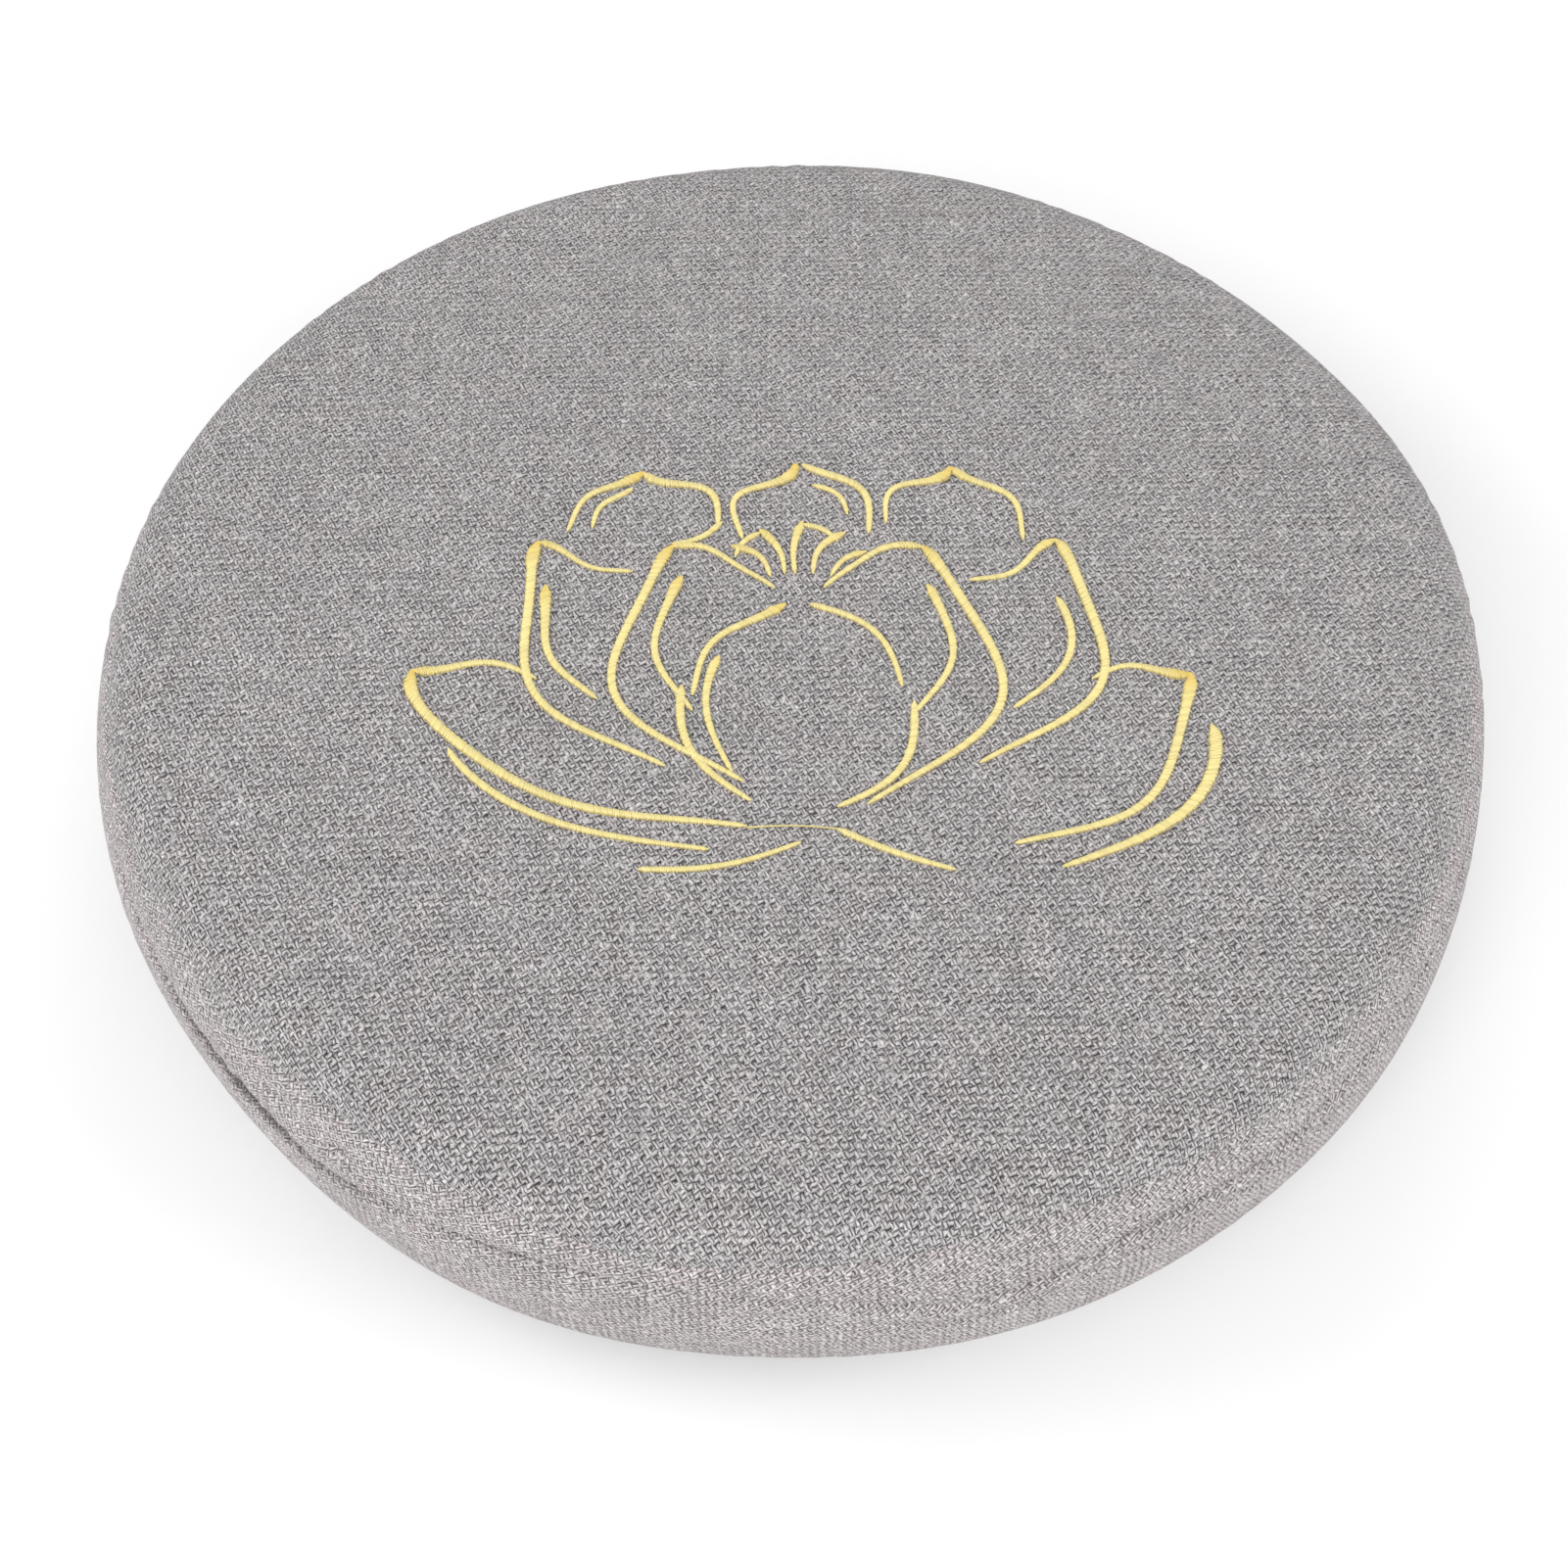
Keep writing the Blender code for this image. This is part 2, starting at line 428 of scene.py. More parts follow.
# %% [markdown]
# ## Drawing in the seams
# A seam is a narrow valley: sharp at the stitches and soft further out, with the cloth of both
# panels swelling slightly beside it. In places the filling has pushed it almost flat. Sculpting
# could draw all this by hand, but one offset of the rings, outwards or inwards, keeps every
# depth and place in a table, where it can be compared with the cushion and put right.

# %% Valleys, and where they fade
VALLEY_COLUMNS = ("seam", "depth", "sharp_width", "soft_width", "gathers")
VALLEYS = (
    ("top_seam", 0.6, 0.45, 2.4, 0.20),
    ("band_seam", 1.0, 0.45, 2.8, 0.22),
    ("foot_seam", 1.6, 0.60, 3.2, 0.10),
)
FADE_COLUMNS = ("seam", "azimuth_deg", "spread_deg", "loss")
FADES = (
    ("band_seam", -168, 16, 0.6),
    ("band_seam", -119, 5, 0.6),
    ("band_seam", -94, 9, 0.6),
    ("band_seam", -62, 22, 0.5),
)
SHARP_SHARE = 0.75
SOFT_SHARE = 0.52
LIP_SHARE = 0.22
LIP_REACH = 3  # in soft widths


def below_seam(name, distance=0.0):
    """How far down the side every ring point lies from a line at this distance below a seam."""
    return ring_s - seam_s[name][:, None] - distance


def valley(offset, row, depth):
    sharp = np.exp(-np.abs(offset) / (row["sharp_width"] * MM))
    soft = bell(offset, row["soft_width"] * MM)
    lip = bell(offset, LIP_REACH * row["soft_width"] * MM)
    return depth * MM * (LIP_SHARE * lip - SHARP_SHARE * sharp - SOFT_SHARE * soft)


offset = np.zeros_like(ring_s)
for row in rows(VALLEY_COLUMNS, VALLEYS):
    depth = np.full(AZIMUTH_STEPS, row["depth"])
    for fade in rows(FADE_COLUMNS, FADES):
        if fade["seam"] == row["seam"]:
            depth = depth - fade["loss"] * near(fade["azimuth_deg"], fade["spread_deg"])
    offset += valley(below_seam(row["seam"]), row, depth[:, None])
print(f"seams move the cloth {offset.min() / MM:.1f} to {offset.max() / MM:.1f} mm")

# %% The lap, and the roll over the deep fold
LAP_COLUMNS = ("name", "azimuth_deg", "spread_deg", "below_band_seam", "rise", "width")
LAPS = (
    ("lap at the front right", -62, 24, 3.6, 1.0, 2.2),
    ("groove under the lap", -62, 24, 7.8, -0.8, 1.8),
    ("roll over the deep fold", -135, 15, -7.5, 0.8, 3.2),
    ("upper edge of the roll", -135, 14, -13.0, -0.5, 1.8),
    ("band standing out below it", -135, 15, 3.4, 0.7, 2.3),
)

for row in rows(LAP_COLUMNS, LAPS):
    below = below_seam("band_seam", row["below_band_seam"] * MM)
    share = near(row["azimuth_deg"], row["spread_deg"])[:, None]
    offset += share * row["rise"] * MM * bell(below, row["width"] * MM)
print(f"with the lap and the roll, {offset.min() / MM:.1f} to {offset.max() / MM:.1f} mm")

# %% [markdown]
# ## Gathers, puckers and small folds
# Where a flat panel is sewn round a curve, its cloth is a little too long for the seam and has
# to ease in, which leaves small gathers beside the stitches. Round the deep fold it puckers
# more, and the pull of the seams lays a few long folds slantwise across the side. A simulation
# gives such shapes by chance. Sums of waves with a fixed seed, and a table of folds, put them
# where this cushion has them, and give the same cushion every time.

# %% Gathers beside the seams
GATHER_REACH = 5.5 * MM
GATHER_WAVES = (83, 107, 131, 149, 173)
GATHER_SWELLS = 9
GATHER_SWING = 0.45
dice = np.random.default_rng(7)


def gathers():
    """An uneven ripple round the cushion, made of a few waves that drift against each other."""
    phases = dice.uniform(0, math.tau, len(GATHER_WAVES))
    ripple = sum(np.sin(n * azimuths + p) for n, p in zip(GATHER_WAVES, phases))
    swells = np.sin(GATHER_SWELLS * azimuths + dice.uniform(0, math.tau))
    swells = 1 - GATHER_SWING + GATHER_SWING * swells
    return ripple / len(GATHER_WAVES) * 2 * swells


for row in rows(VALLEY_COLUMNS, VALLEYS):
    for side in (-1, 1):
        beyond = side * below_seam(row["seam"])
        fade = np.where(beyond > 0, beyond / GATHER_REACH * np.exp(1 - beyond / GATHER_REACH), 0)
        offset += row["gathers"] * MM * gathers()[:, None] * fade

# %% Puckers round the deep fold
FOLD_AZIMUTH_DEG = -137
PUCKER_SPREAD_DEG = 17
PUCKER_DROP = -3 * MM  # from the band seam down to the middle of the puckers
PUCKER_REACH = 9 * MM
PUCKER_RISE = 0.10 * MM
PUCKER_LENGTHS = (4.1, 4.9, 5.8, 6.7, 8.2, 9.7)
PUCKER_TURN = 1.2  # the most that a wave of puckers is turned, in radians

pucker_share = near(FOLD_AZIMUTH_DEG, PUCKER_SPREAD_DEG)[:, None]
pucker_share = pucker_share * bell(below_seam("band_seam", PUCKER_DROP), PUCKER_REACH)
around_fold = turn_from(FOLD_AZIMUTH_DEG)[:, None] * RADIUS
for length in PUCKER_LENGTHS:
    aim = dice.uniform(-PUCKER_TURN, PUCKER_TURN)
    phase = dice.uniform(0, math.tau)
    along_wave = around_fold * math.cos(aim) + below_seam("band_seam") * math.sin(aim)
    wave = np.sin(along_wave * math.tau / (length * MM) + phase)
    offset += PUCKER_RISE * pucker_share * wave
print(f"puckers rise at most {PUCKER_RISE * len(PUCKER_LENGTHS) / MM:.1f} mm")

# %% Small folds that the pull of the seams has left
FOLD_COLUMNS = ("azimuth_deg", "below_top_seam", "length", "slant_deg", "width", "rise")
FOLDS = (
    (-125.5, 11.0, 11, 10, 1.3, -1.3),
    (-125.5, 14.0, 14, 12, 1.7, 0.8),
    (-131, 5.0, 14, 30, 1.6, 0.7),
    (-136, 5.0, 14, 34, 1.6, 0.7),
    (-141, 5.0, 14, 36, 1.6, 0.7),
    (-147, 6.0, 18, 30, 1.8, 0.6),
    (-112, 5.5, 22, 6, 2.2, 0.5),
    (-88, 4.5, 30, -4, 2.0, 0.5),
    (-44, 5.0, 18, 10, 2.0, 0.6),
    (-30, 7.0, 24, -8, 2.4, 0.5),
    (-95, 24.0, 34, 5, 4.0, 0.5),
    (-128, 20.0, 30, -8, 3.6, 0.6),
    (-58, 26.0, 36, 6, 4.0, 0.5),
)


def fold_offset(row):
    around = turn_from(row["azimuth_deg"])[:, None] * RADIUS
    down = below_seam("top_seam", row["below_top_seam"] * MM)
    slant = math.radians(row["slant_deg"])
    lengthwise = around * math.cos(slant) + down * math.sin(slant)
    sideways = down * math.cos(slant) - around * math.sin(slant)
    fade = bell(lengthwise, row["length"] * MM / 2)
    return row["rise"] * MM * fade * bell(sideways, row["width"] * MM)


for row in rows(FOLD_COLUMNS, FOLDS):
    offset += fold_offset(row)
print(f"{len(FOLDS)} folds; the cloth moves {offset.min() / MM:.1f} to {offset.max() / MM:.1f} mm")

# %% [markdown]
# ## Shadow in the folds
# Where cloth folds back on itself, hardly any light gets in. The real gap is thinner than the
# squares of one closed skin, so its darkness can't all come from the shape. The mesh therefore
# stores a mask on its points, and the cloth's material darkens by it. A table says where the
# folds lie, and the same uneven ripple as the gathers keeps their lines from being too straight.

# %% Shadow that lies in the folds
SHADOW_COLUMNS = ("azimuth_deg", "spread_deg", "below_band_seam", "share", "width")
SHADOWS = (
    (-136, 13.5, 0.6, 1.00, 1.7),
    (-111, 5, 0.1, 0.60, 0.7),
    (-62, 24, 0.0, 0.35, 1.4),
    (-62, 22, 7.8, 0.35, 1.2),
)
SHADOW_WANDER = 0.35 * MM

fold_shadow = np.zeros_like(ring_s)
for row in rows(SHADOW_COLUMNS, SHADOWS):
    below = below_seam("band_seam", row["below_band_seam"] * MM)
    below = below + SHADOW_WANDER * gathers()[:, None]
    share = row["share"] * near(row["azimuth_deg"], row["spread_deg"])[:, None]
    fold_shadow = np.maximum(fold_shadow, share * bell(below, row["width"] * MM))
print(f"fold shadow reaches {fold_shadow.max():.2f}")

# %% [markdown]
# ## The joining of the bands
# A band is a straight strip, so its two ends have to be sewn together somewhere. A maker puts
# that joining at the back. It is one more valley, running from the top seam to the foot seam.

# %% The joining of the bands, across the side at the back
JOIN_DEPTH = 0.9 * MM
JOIN_WIDTH = 2.4 * MM
JOIN_FADE = 3 * MM


def between(values, start, end, soft):
    """1 from start to end and 0 outside, with soft edges."""
    return np.clip((values - start) / soft, 0, 1) * np.clip((end - values) / soft, 0, 1)


on_bands = between(ring_s, seam_s["top_seam"][:, None], seam_s["foot_seam"][:, None], JOIN_FADE)
beside_join = turn_from(JOIN_AZIMUTH_DEG) * RADIUS
offset -= JOIN_DEPTH * bell(beside_join, JOIN_WIDTH)[:, None] * on_bands
print(f"the joining crosses {on_bands[0].sum():.0f} rings")

# %% [markdown]
# ## From rings to one closed mesh
# The offsets are laid along each section's outward direction. The underside stays flat where
# the cushion rests. A second map, in metres of real cloth, is stored on the mesh: the round
# panels keep the cloth's own two directions, and on the bands the cloth is turned, with one
# set of yarns running round the cushion. The weave then follows the cloth, not the world.

# %% Points of the cover
SETTLE_HEIGHT = 3 * MM  # below this the offsets fade out, to leave the foot flat

settle = np.clip(ring_z / SETTLE_HEIGHT, 0, 1)
final_r = ring_r + offset * out_r * settle
final_z = np.maximum(ring_z + offset * out_z * settle, 0)
foot_r = final_r[:, -1:]
floor_share = 1 - np.arange(1, FLOOR_RINGS + 1) / (FLOOR_RINGS + 1)
final_r = np.concatenate([final_r, foot_r * floor_share], axis=1)
final_z = np.concatenate([final_z, np.zeros((AZIMUTH_STEPS, FLOOR_RINGS))], axis=1)
ring_panel += ["bottom_panel"] * FLOOR_RINGS
RINGS = final_r.shape[1]
ring_points = np.stack([
    final_r * np.cos(azimuths)[:, None],
    final_r * np.sin(azimuths)[:, None],
    final_z,
], axis=2).transpose(1, 0, 2)
top_point = (0, 0, section_z[:, 0].mean())
cover_points = np.concatenate([ring_points.reshape(-1, 3), [top_point], [(0, 0, 0)]])
TOP_POLE, FLOOR_POLE = len(cover_points) - 2, len(cover_points) - 1

# %% Faces of the cover
step_now = np.arange(AZIMUTH_STEPS)
step_next = (step_now + 1) % AZIMUTH_STEPS


def corner(ring, step):
    return ring * AZIMUTH_STEPS + step


quads = np.concatenate([
    np.stack([
        corner(ring, step_now),
        corner(ring + 1, step_now),
        corner(ring + 1, step_next),
        corner(ring, step_next),
    ], axis=1)
    for ring in range(RINGS - 1)
])
top_fan = [(TOP_POLE, corner(0, now), corner(0, after)) for now, after in zip(step_now, step_next)]
floor_fan = [
    (FLOOR_POLE, corner(RINGS - 1, after), corner(RINGS - 1, now))
    for now, after in zip(step_now, step_next)
]
cover_mesh = bpy.data.meshes.new("cushion_cover")
cover_mesh.from_pydata(cover_points.tolist(), [], quads.tolist() + top_fan + floor_fan)
cover_mesh.shade_smooth()
shadow_values = np.zeros(len(cover_points), np.float32)
shadow_values[: fold_shadow.size] = fold_shadow.T.ravel()
shadow_mask = cover_mesh.attributes.new("fold_shadow", "FLOAT", "POINT")
shadow_mask.data.foreach_set("value", shadow_values)
cover = linked("cushion_cover", cover_mesh)
print("cover:", 2 * len(quads) + 2 * AZIMUTH_STEPS, "triangles")

# %% The map of the cloth
WARP_PITCH = 1.48 * MM
WEFT_PITCH = 2.10 * MM
BAND_YARNS = 598
BAND_PANELS = ("upper_band", "lower_band")
PANEL_SHIFT = {"upper_band": 0.7 * MM, "lower_band": 39.1 * MM}
UNDER_PANELS = ("bottom_roll", "bottom_panel")

whole_s = np.concatenate([
    ring_s, ring_s[:, -1:] + ring_r[:, -1:] * (1 - floor_share)
], axis=1)
total_s = (ring_s[:, -1] + ring_r[:, -1])[:, None]
columns = np.arange(AZIMUTH_STEPS + 1)
wrapped = columns % AZIMUTH_STEPS
band_v = columns * (BAND_YARNS * WEFT_PITCH / AZIMUTH_STEPS)
cos_wrapped, sin_wrapped = np.cos(azimuths[wrapped]), np.sin(azimuths[wrapped])


def map_of(ring, panel):
    """The cloth map of one ring as read by a face of this panel, one row for each column."""
    if panel in BAND_PANELS:
        down = ring_s[wrapped, ring] - seam_s["top_seam"][wrapped]
        return np.stack([down + PANEL_SHIFT[panel], band_v], axis=1)
    reach = whole_s[wrapped, ring]
    if panel in UNDER_PANELS:
        reach = total_s[wrapped, 0] - reach
    return np.stack([reach * cos_wrapped, reach * sin_wrapped], axis=1)


corner_maps = []
for ring in range(RINGS - 1):
    upper = map_of(ring, ring_panel[ring + 1])
    lower = map_of(ring + 1, ring_panel[ring + 1])
    corner_maps.append(np.stack([upper[:-1], lower[:-1], lower[1:], upper[1:]], axis=1))
quad_map = np.concatenate(corner_maps).reshape(-1, 2)
top_edge = map_of(0, "top_panel")
floor_edge = map_of(RINGS - 1, "bottom_panel")
middle = np.zeros((AZIMUTH_STEPS, 2))
top_map = np.stack([middle, top_edge[:-1], top_edge[1:]], axis=1).reshape(-1, 2)
floor_map = np.stack([middle, floor_edge[1:], floor_edge[:-1]], axis=1).reshape(-1, 2)
cloth_map = cover_mesh.uv_layers.new(name="cloth")
whole_map = np.concatenate([quad_map, top_map, floor_map])
cloth_map.uv.foreach_set("vector", whole_map.astype(np.float32).ravel())
print("cloth map spans, mm:", np.round(np.ptp(whole_map, axis=0) / MM))

# %% [markdown]
# ## Wiring nodes in code
# Materials and Geometry Nodes are both graphs. Written out link by link they are hard to read,
# so two small helpers come first. One adds a node, sets its properties and feeds its sockets.
# The other stands for a node's output and can be reckoned with like a number, so that a formula
# in the script looks like the formula that the nodes work out.

# %% An output that can be reckoned with
class Signal:
    """A node's output, which is added, subtracted, multiplied and divided like a number."""

    def __init__(self, wiring, socket):
        self.wiring = wiring
        self.socket = socket

    def __add__(self, other):
        return self.wiring.math("ADD", self, other)

    def __sub__(self, other):
        return self.wiring.math("SUBTRACT", self, other)

    def __rsub__(self, other):
        return self.wiring.math("SUBTRACT", other, self)

    def __mul__(self, other):
        return self.wiring.math("MULTIPLY", self, other)

    def __truediv__(self, other):
        return self.wiring.math("DIVIDE", self, other)

    __radd__ = __add__
    __rmul__ = __mul__


def rgba(colour):
    """A colour with its alpha. A signal is left as it is."""
    return (*colour, 1.0) if isinstance(colour, tuple) else colour


# %% A helper for node graphs
class Wiring:
    """Adds nodes to one tree and joins them."""

    ROWS = 7

    def __init__(self, tree):
        self.tree = tree

    def feed(self, sockets, values):
        """Joins each socket to a signal, or sets it to a plain value."""
        for key, value in values.items():
            if isinstance(value, Signal):
                self.tree.links.new(value.socket, sockets[key])
            else:
                sockets[key].default_value = value

    def add(self, kind, inputs=None, **settings):
        node = self.tree.nodes.new(kind)
        column, row = divmod(len(self.tree.nodes), self.ROWS)
        node.location = (column * 220, -row * 190)
        for name, value in settings.items():
            setattr(node, name, value)
        self.feed(node.inputs, inputs or {})
        return node

    def output(self, kind, which, inputs=None, **settings):
        """One output of a new node."""
        return Signal(self, self.add(kind, inputs, **settings).outputs[which])

    def outputs(self, node):
        """Every output of a node, by name."""
        return {socket.name: Signal(self, socket) for socket in node.outputs}

    def math(self, operation, *values):
        return self.output("ShaderNodeMath", 0, dict(enumerate(values)), operation=operation)

    def at_least(self, value, least):
        return self.math("MAXIMUM", value, least)

    def size(self, value):
        return self.math("ABSOLUTE", value)

    def mix(self, share, first, second):
        """first where share is 0, second where it is 1."""
        return first + share * (second - first)

    def blend(self, share, first, second, kind="MIX"):
        """Two colours, the second laid over the first in this way and by this share."""
        colours = {0: share, 6: rgba(first), 7: rgba(second)}
        return self.output("ShaderNodeMix", 2, colours, data_type="RGBA", blend_type=kind)

    def vector(self, x, y, z=0.0):
        return self.output("ShaderNodeCombineXYZ", 0, {0: x, 1: y, 2: z})

    def plane(self, vector):
        """The first two parts of a vector."""
        parts = self.outputs(self.add("ShaderNodeSeparateXYZ", {0: vector}))
        return parts["X"], parts["Y"]

    def noise(self, x, y, detail=1.0):
        """Smooth noise from 0 to 1 over two lengths that are already counted in features."""
        inputs = {"Vector": self.vector(x, y), "Scale": 1.0, "Detail": detail}
        return self.output("ShaderNodeTexNoise", "Fac", inputs, noise_dimensions="2D")

    def ramp(self, value, start, end):
        """A smooth rise from 0 at start to 1 at end."""
        inputs = {"Value": value, "From Min": start, "From Max": end}
        return self.output(
            "ShaderNodeMapRange", "Result", inputs, interpolation_type="SMOOTHSTEP"
        )


def new_group(name, kind, inputs, outputs):
    """An empty node group, the wiring for it, the signals it is given and its result."""
    group = bpy.data.node_groups.new(name, kind)
    for label, socket_type, value in inputs:
        socket = group.interface.new_socket(label, in_out="INPUT", socket_type=socket_type)
        if value is not None:
            socket.default_value = value
    for label, socket_type in outputs:
        group.interface.new_socket(label, in_out="OUTPUT", socket_type=socket_type)
    wiring = Wiring(group)
    given = wiring.outputs(wiring.add("NodeGroupInput"))
    return group, wiring, given, wiring.add("NodeGroupOutput").inputs


# %% [markdown]
# ## The weave
# The cloth is a plain weave of thick, soft, twisted yarn: each yarn goes over one and under the
# next, and where it lies on top it bulges, leans over and shows one or two of its plies as
# slanting strips. It could be an image, but a formula stays sharp at any distance. Two sets of
# yarns are round ridges that rise and sink like waves, and the highest of them is what shows.
# Where all are low, and between two plies, the colour is painted dark. This is painted shade in
# the hollows, which the bump relief can't cast. A yarn is also painted darker on its near half and
# where it comes out from under the next one, where it dives deep: painted shade. Where it lies
# high it is painted lighter: a painted highlight.
# Noise makes each yarn thick and thin, light and dark, and lets it wander out of line. A yarn
# that is paler over a long way leaves the faint streaks that linen has. The formula is long, so
# each part of it is a function of its own, and the last cell joins them in one node group.

# %% Node group: plain weave, its sockets
WEAVE_INPUTS = (
    ("Cloth", "NodeSocketVector", None),
    ("Warp Pitch", "NodeSocketFloat", WARP_PITCH),
    ("Weft Pitch", "NodeSocketFloat", WEFT_PITCH),
    ("Wander", "NodeSocketFloat", 1.0),
    ("Slub", "NodeSocketFloat", 0.2),
    # Groove and Shadow set how much painted shade falls in the ply grooves and on the diving
    # yarns.
    ("Groove Shade", "NodeSocketFloat", 0.85),
    ("Shadow", "NodeSocketFloat", 1.0),
)
WEAVE_OUTPUTS = (
    ("Height", "NodeSocketFloat"),
    ("Gap Shade", "NodeSocketFloat"),
    ("Shade", "NodeSocketFloat"),
    ("Fibre", "NodeSocketFloat"),
    ("Highlight and Streaks", "NodeSocketFloat"),
)
# Each use of the noise starts at its own place and takes its own step from yarn to yarn, so
# that no two of them run alike.
NOISE_START = {
    "warp": 3.0, "weft": 57.0, "jitter": 31.0, "plies": 140.0, "warp slubs": 11.0,
    "weft slubs": 93.0, "weft yarns": 400.0, "warp streaks": 40.0, "weft streaks": 90.0,
}
NOISE_STEP = {
    "slubs": 7.3, "plies": 3.3, "grooves": 2.7, "fibres": 3.7, "shade": 5.7, "streaks": 9.37,
}
print("weave outputs:", ", ".join(name for name, _ in WEAVE_OUTPUTS))

# %% Where the yarns lie
WANDER_SIZE = 7 * MM
JITTER_SIZE = 2.6 * MM


def strayed(w, cloth, size, start):
    """Smooth noise from -0.5 to 0.5 over the cloth, with features of this size."""
    u, v = cloth
    return w.noise(u / size + start, v / size) - 0.5


def counted(w, cloth, length, pitch, wander, start):
    """The number of the yarn that lies here, and how far off its middle, in pitches."""
    slow = strayed(w, cloth, WANDER_SIZE, start)
    quick = strayed(w, cloth, JITTER_SIZE, start + NOISE_START["jitter"])
    place = length / pitch + (slow + quick) * wander
    return w.math("FLOOR", place), w.math("FRACT", place) - 0.5


# %% The height of the yarns
SLUB_LENGTH = 9 * MM
HALF_YARN = 0.62  # in pitches, so that the yarns press on each other
BULGE = 0.08
LEAN = 0.20
ARCH = 0.5
SIDE_FALL = 3.0  # how steeply the height falls off beside a yarn
LIFT = 0.6
LIFT_SPREAD = 0.2


def yarn_height(w, weave, run, yarn, across, over, wave):
    """Height of one yarn here, where over is 1 if it lies on top and -1 if it dives."""
    sine, cosine = wave
    thickness = w.noise(yarn * NOISE_STEP["slubs"] + run["start"], run["length"] / SLUB_LENGTH)
    crest = over * cosine
    half = (thickness - 0.5) * weave["slub"] + HALF_YARN + crest * BULGE
    share = (across + over * sine * run["lean"]) / half
    beyond = w.at_least(w.size(share) - 1, 0.0)
    arch = w.math("SQRT", w.at_least(1 - share * share, 0.0)) * ARCH
    return arch - beyond * SIDE_FALL + crest * weave["lift"], share


def ridge(w, weave, run, yarn, across, along, over):
    """The higher of the nearest yarn and its neighbour, which it is, and where across it."""
    angle = along * math.pi
    wave = (w.math("SINE", angle), w.math("COSINE", angle))
    side = w.math("GREATER_THAN", across, 0.0) * 2 - 1
    beside = yarn + side
    own, own_share = yarn_height(w, weave, run, yarn, across, over, wave)
    other, other_share = yarn_height(w, weave, run, beside, across - side, over * -1, wave)
    swap = w.math("GREATER_THAN", other, own)
    highest = w.at_least(own, other)
    return highest, w.mix(swap, yarn, beside), w.mix(swap, own_share, other_share)


# %% Plies and fibres of the yarn that shows
PLY_SLANT = math.radians(29)
WARP_PLY = 1.02 * MM
WEFT_PLY = 1.34 * MM
PLY_DRIFT = 0.8
PLY_DRIFT_SIZE = 2.0 * MM
PLY_SHIFT = 0.1  # from one yarn to the next
GROOVE_SHARE = 0.28
GROOVE_LENGTH = 3.5 * MM
GROOVE_BREAKS = (0.25, 0.55)
FIBRE_WIDTH = 0.3 * MM
FIBRE_LENGTH = 1.3 * MM


def twisted(w, cloth, warp_shows, yarn, length):
    """The roundness of each ply, the groove between two plies, and the fibres along them."""
    u, v = cloth
    cosine, sine = math.cos(PLY_SLANT), math.sin(PLY_SLANT)
    falling = u * cosine + v * sine
    rising = v * cosine - u * sine
    drift = strayed(w, cloth, PLY_DRIFT_SIZE, NOISE_START["plies"]) + yarn * PLY_SHIFT
    plies = w.mix(warp_shows, rising / WEFT_PLY, falling / WARP_PLY) + drift * PLY_DRIFT
    off_ply = w.math("FRACT", plies) - 0.5
    arch = w.math("SQRT", w.at_least(1 - off_ply * off_ply * 4, 0.0))
    strength = w.noise(
        w.math("FLOOR", plies) * NOISE_STEP["plies"],
        yarn * NOISE_STEP["grooves"] + length / GROOVE_LENGTH,
    )
    groove = w.at_least((w.size(off_ply) - (0.5 - GROOVE_SHARE)) / GROOVE_SHARE, 0.0)
    fibre = w.noise(
        yarn * NOISE_STEP["fibres"] + w.mix(warp_shows, rising, falling) / FIBRE_WIDTH,
        w.mix(warp_shows, falling, rising) / FIBRE_LENGTH,
    )
    return arch, groove * w.ramp(strength, *GROOVE_BREAKS), fibre


# %% Painted shade where a yarn dives, and painted highlight where it lies high
WEFT_SHADOW = 0.22  # on the near half of a weft yarn
WARP_SHADOW = 0.38  # where a warp yarn comes out from under a weft yarn
SHADOW_SPREAD = 0.2
# painted highlight on the far half of a weft yarn and on the near end of a warp yarn
WEFT_HIGHLIGHT = 0.15
WARP_HIGHLIGHT = 0.10
# Where on a yarn, in half widths or pitches from its middle, each of these begins and ends.
FAR_HALF = (-0.7, 0.25)
MIDDLE_STRIP = (0.1, 0.5)
EMERGING = (0.0, 0.5)
FAR_END = (-0.5, 0.5)


def dive_shadow(w, warp_shows, weft_side, across_warp, across_weft, chance):
    """How much painted shade darkens a yarn where it dives, and painted highlight brightens it
    high.
    """
    far_half = w.ramp(weft_side, *FAR_HALF)
    middle = 1 - w.ramp(w.size(across_warp), *MIDDLE_STRIP)
    emerging = w.ramp(across_weft, *EMERGING) * middle
    shadow = w.mix(warp_shows, (1 - far_half) * WEFT_SHADOW, emerging * WARP_SHADOW)
    uneven = 1 + SHADOW_SPREAD - chance * (2 * SHADOW_SPREAD)
    near_end = 1 - w.ramp(across_weft, *FAR_END)
    return shadow * uneven, w.mix(warp_shows, far_half * WEFT_HIGHLIGHT, near_end * WARP_HIGHLIGHT)


# %% Streaks of paler yarn
STREAK_LENGTH = 90 * MM
STREAK_GLOW = 0.25


def streaks(w, yarn, length, start):
    """Noise from 0 to 1 that changes from yarn to yarn and slowly along each of them."""
    return w.noise(yarn * NOISE_STEP["streaks"] + start, length / STREAK_LENGTH)


# %% Build the weave
LOWEST = -0.3
SHADE_LENGTH = 45 * MM
SHADE_DETAIL = 3.0
SHADE_CHANCE = 0.08
PLY_RELIEF = 0.35
FIBRE_RELIEF = 0.3
GROOVE_RELIEF = 0.55
# Painted shade in the hollows of the weave: the colour darkens beside the border of two yarns and
# where both are low.
BORDER_RANGE = (0.0, 0.2)
BORDER_SHADE = 0.27
SUNK_RANGE = (0.1, 0.6)
SUNK_SHADE = 0.45


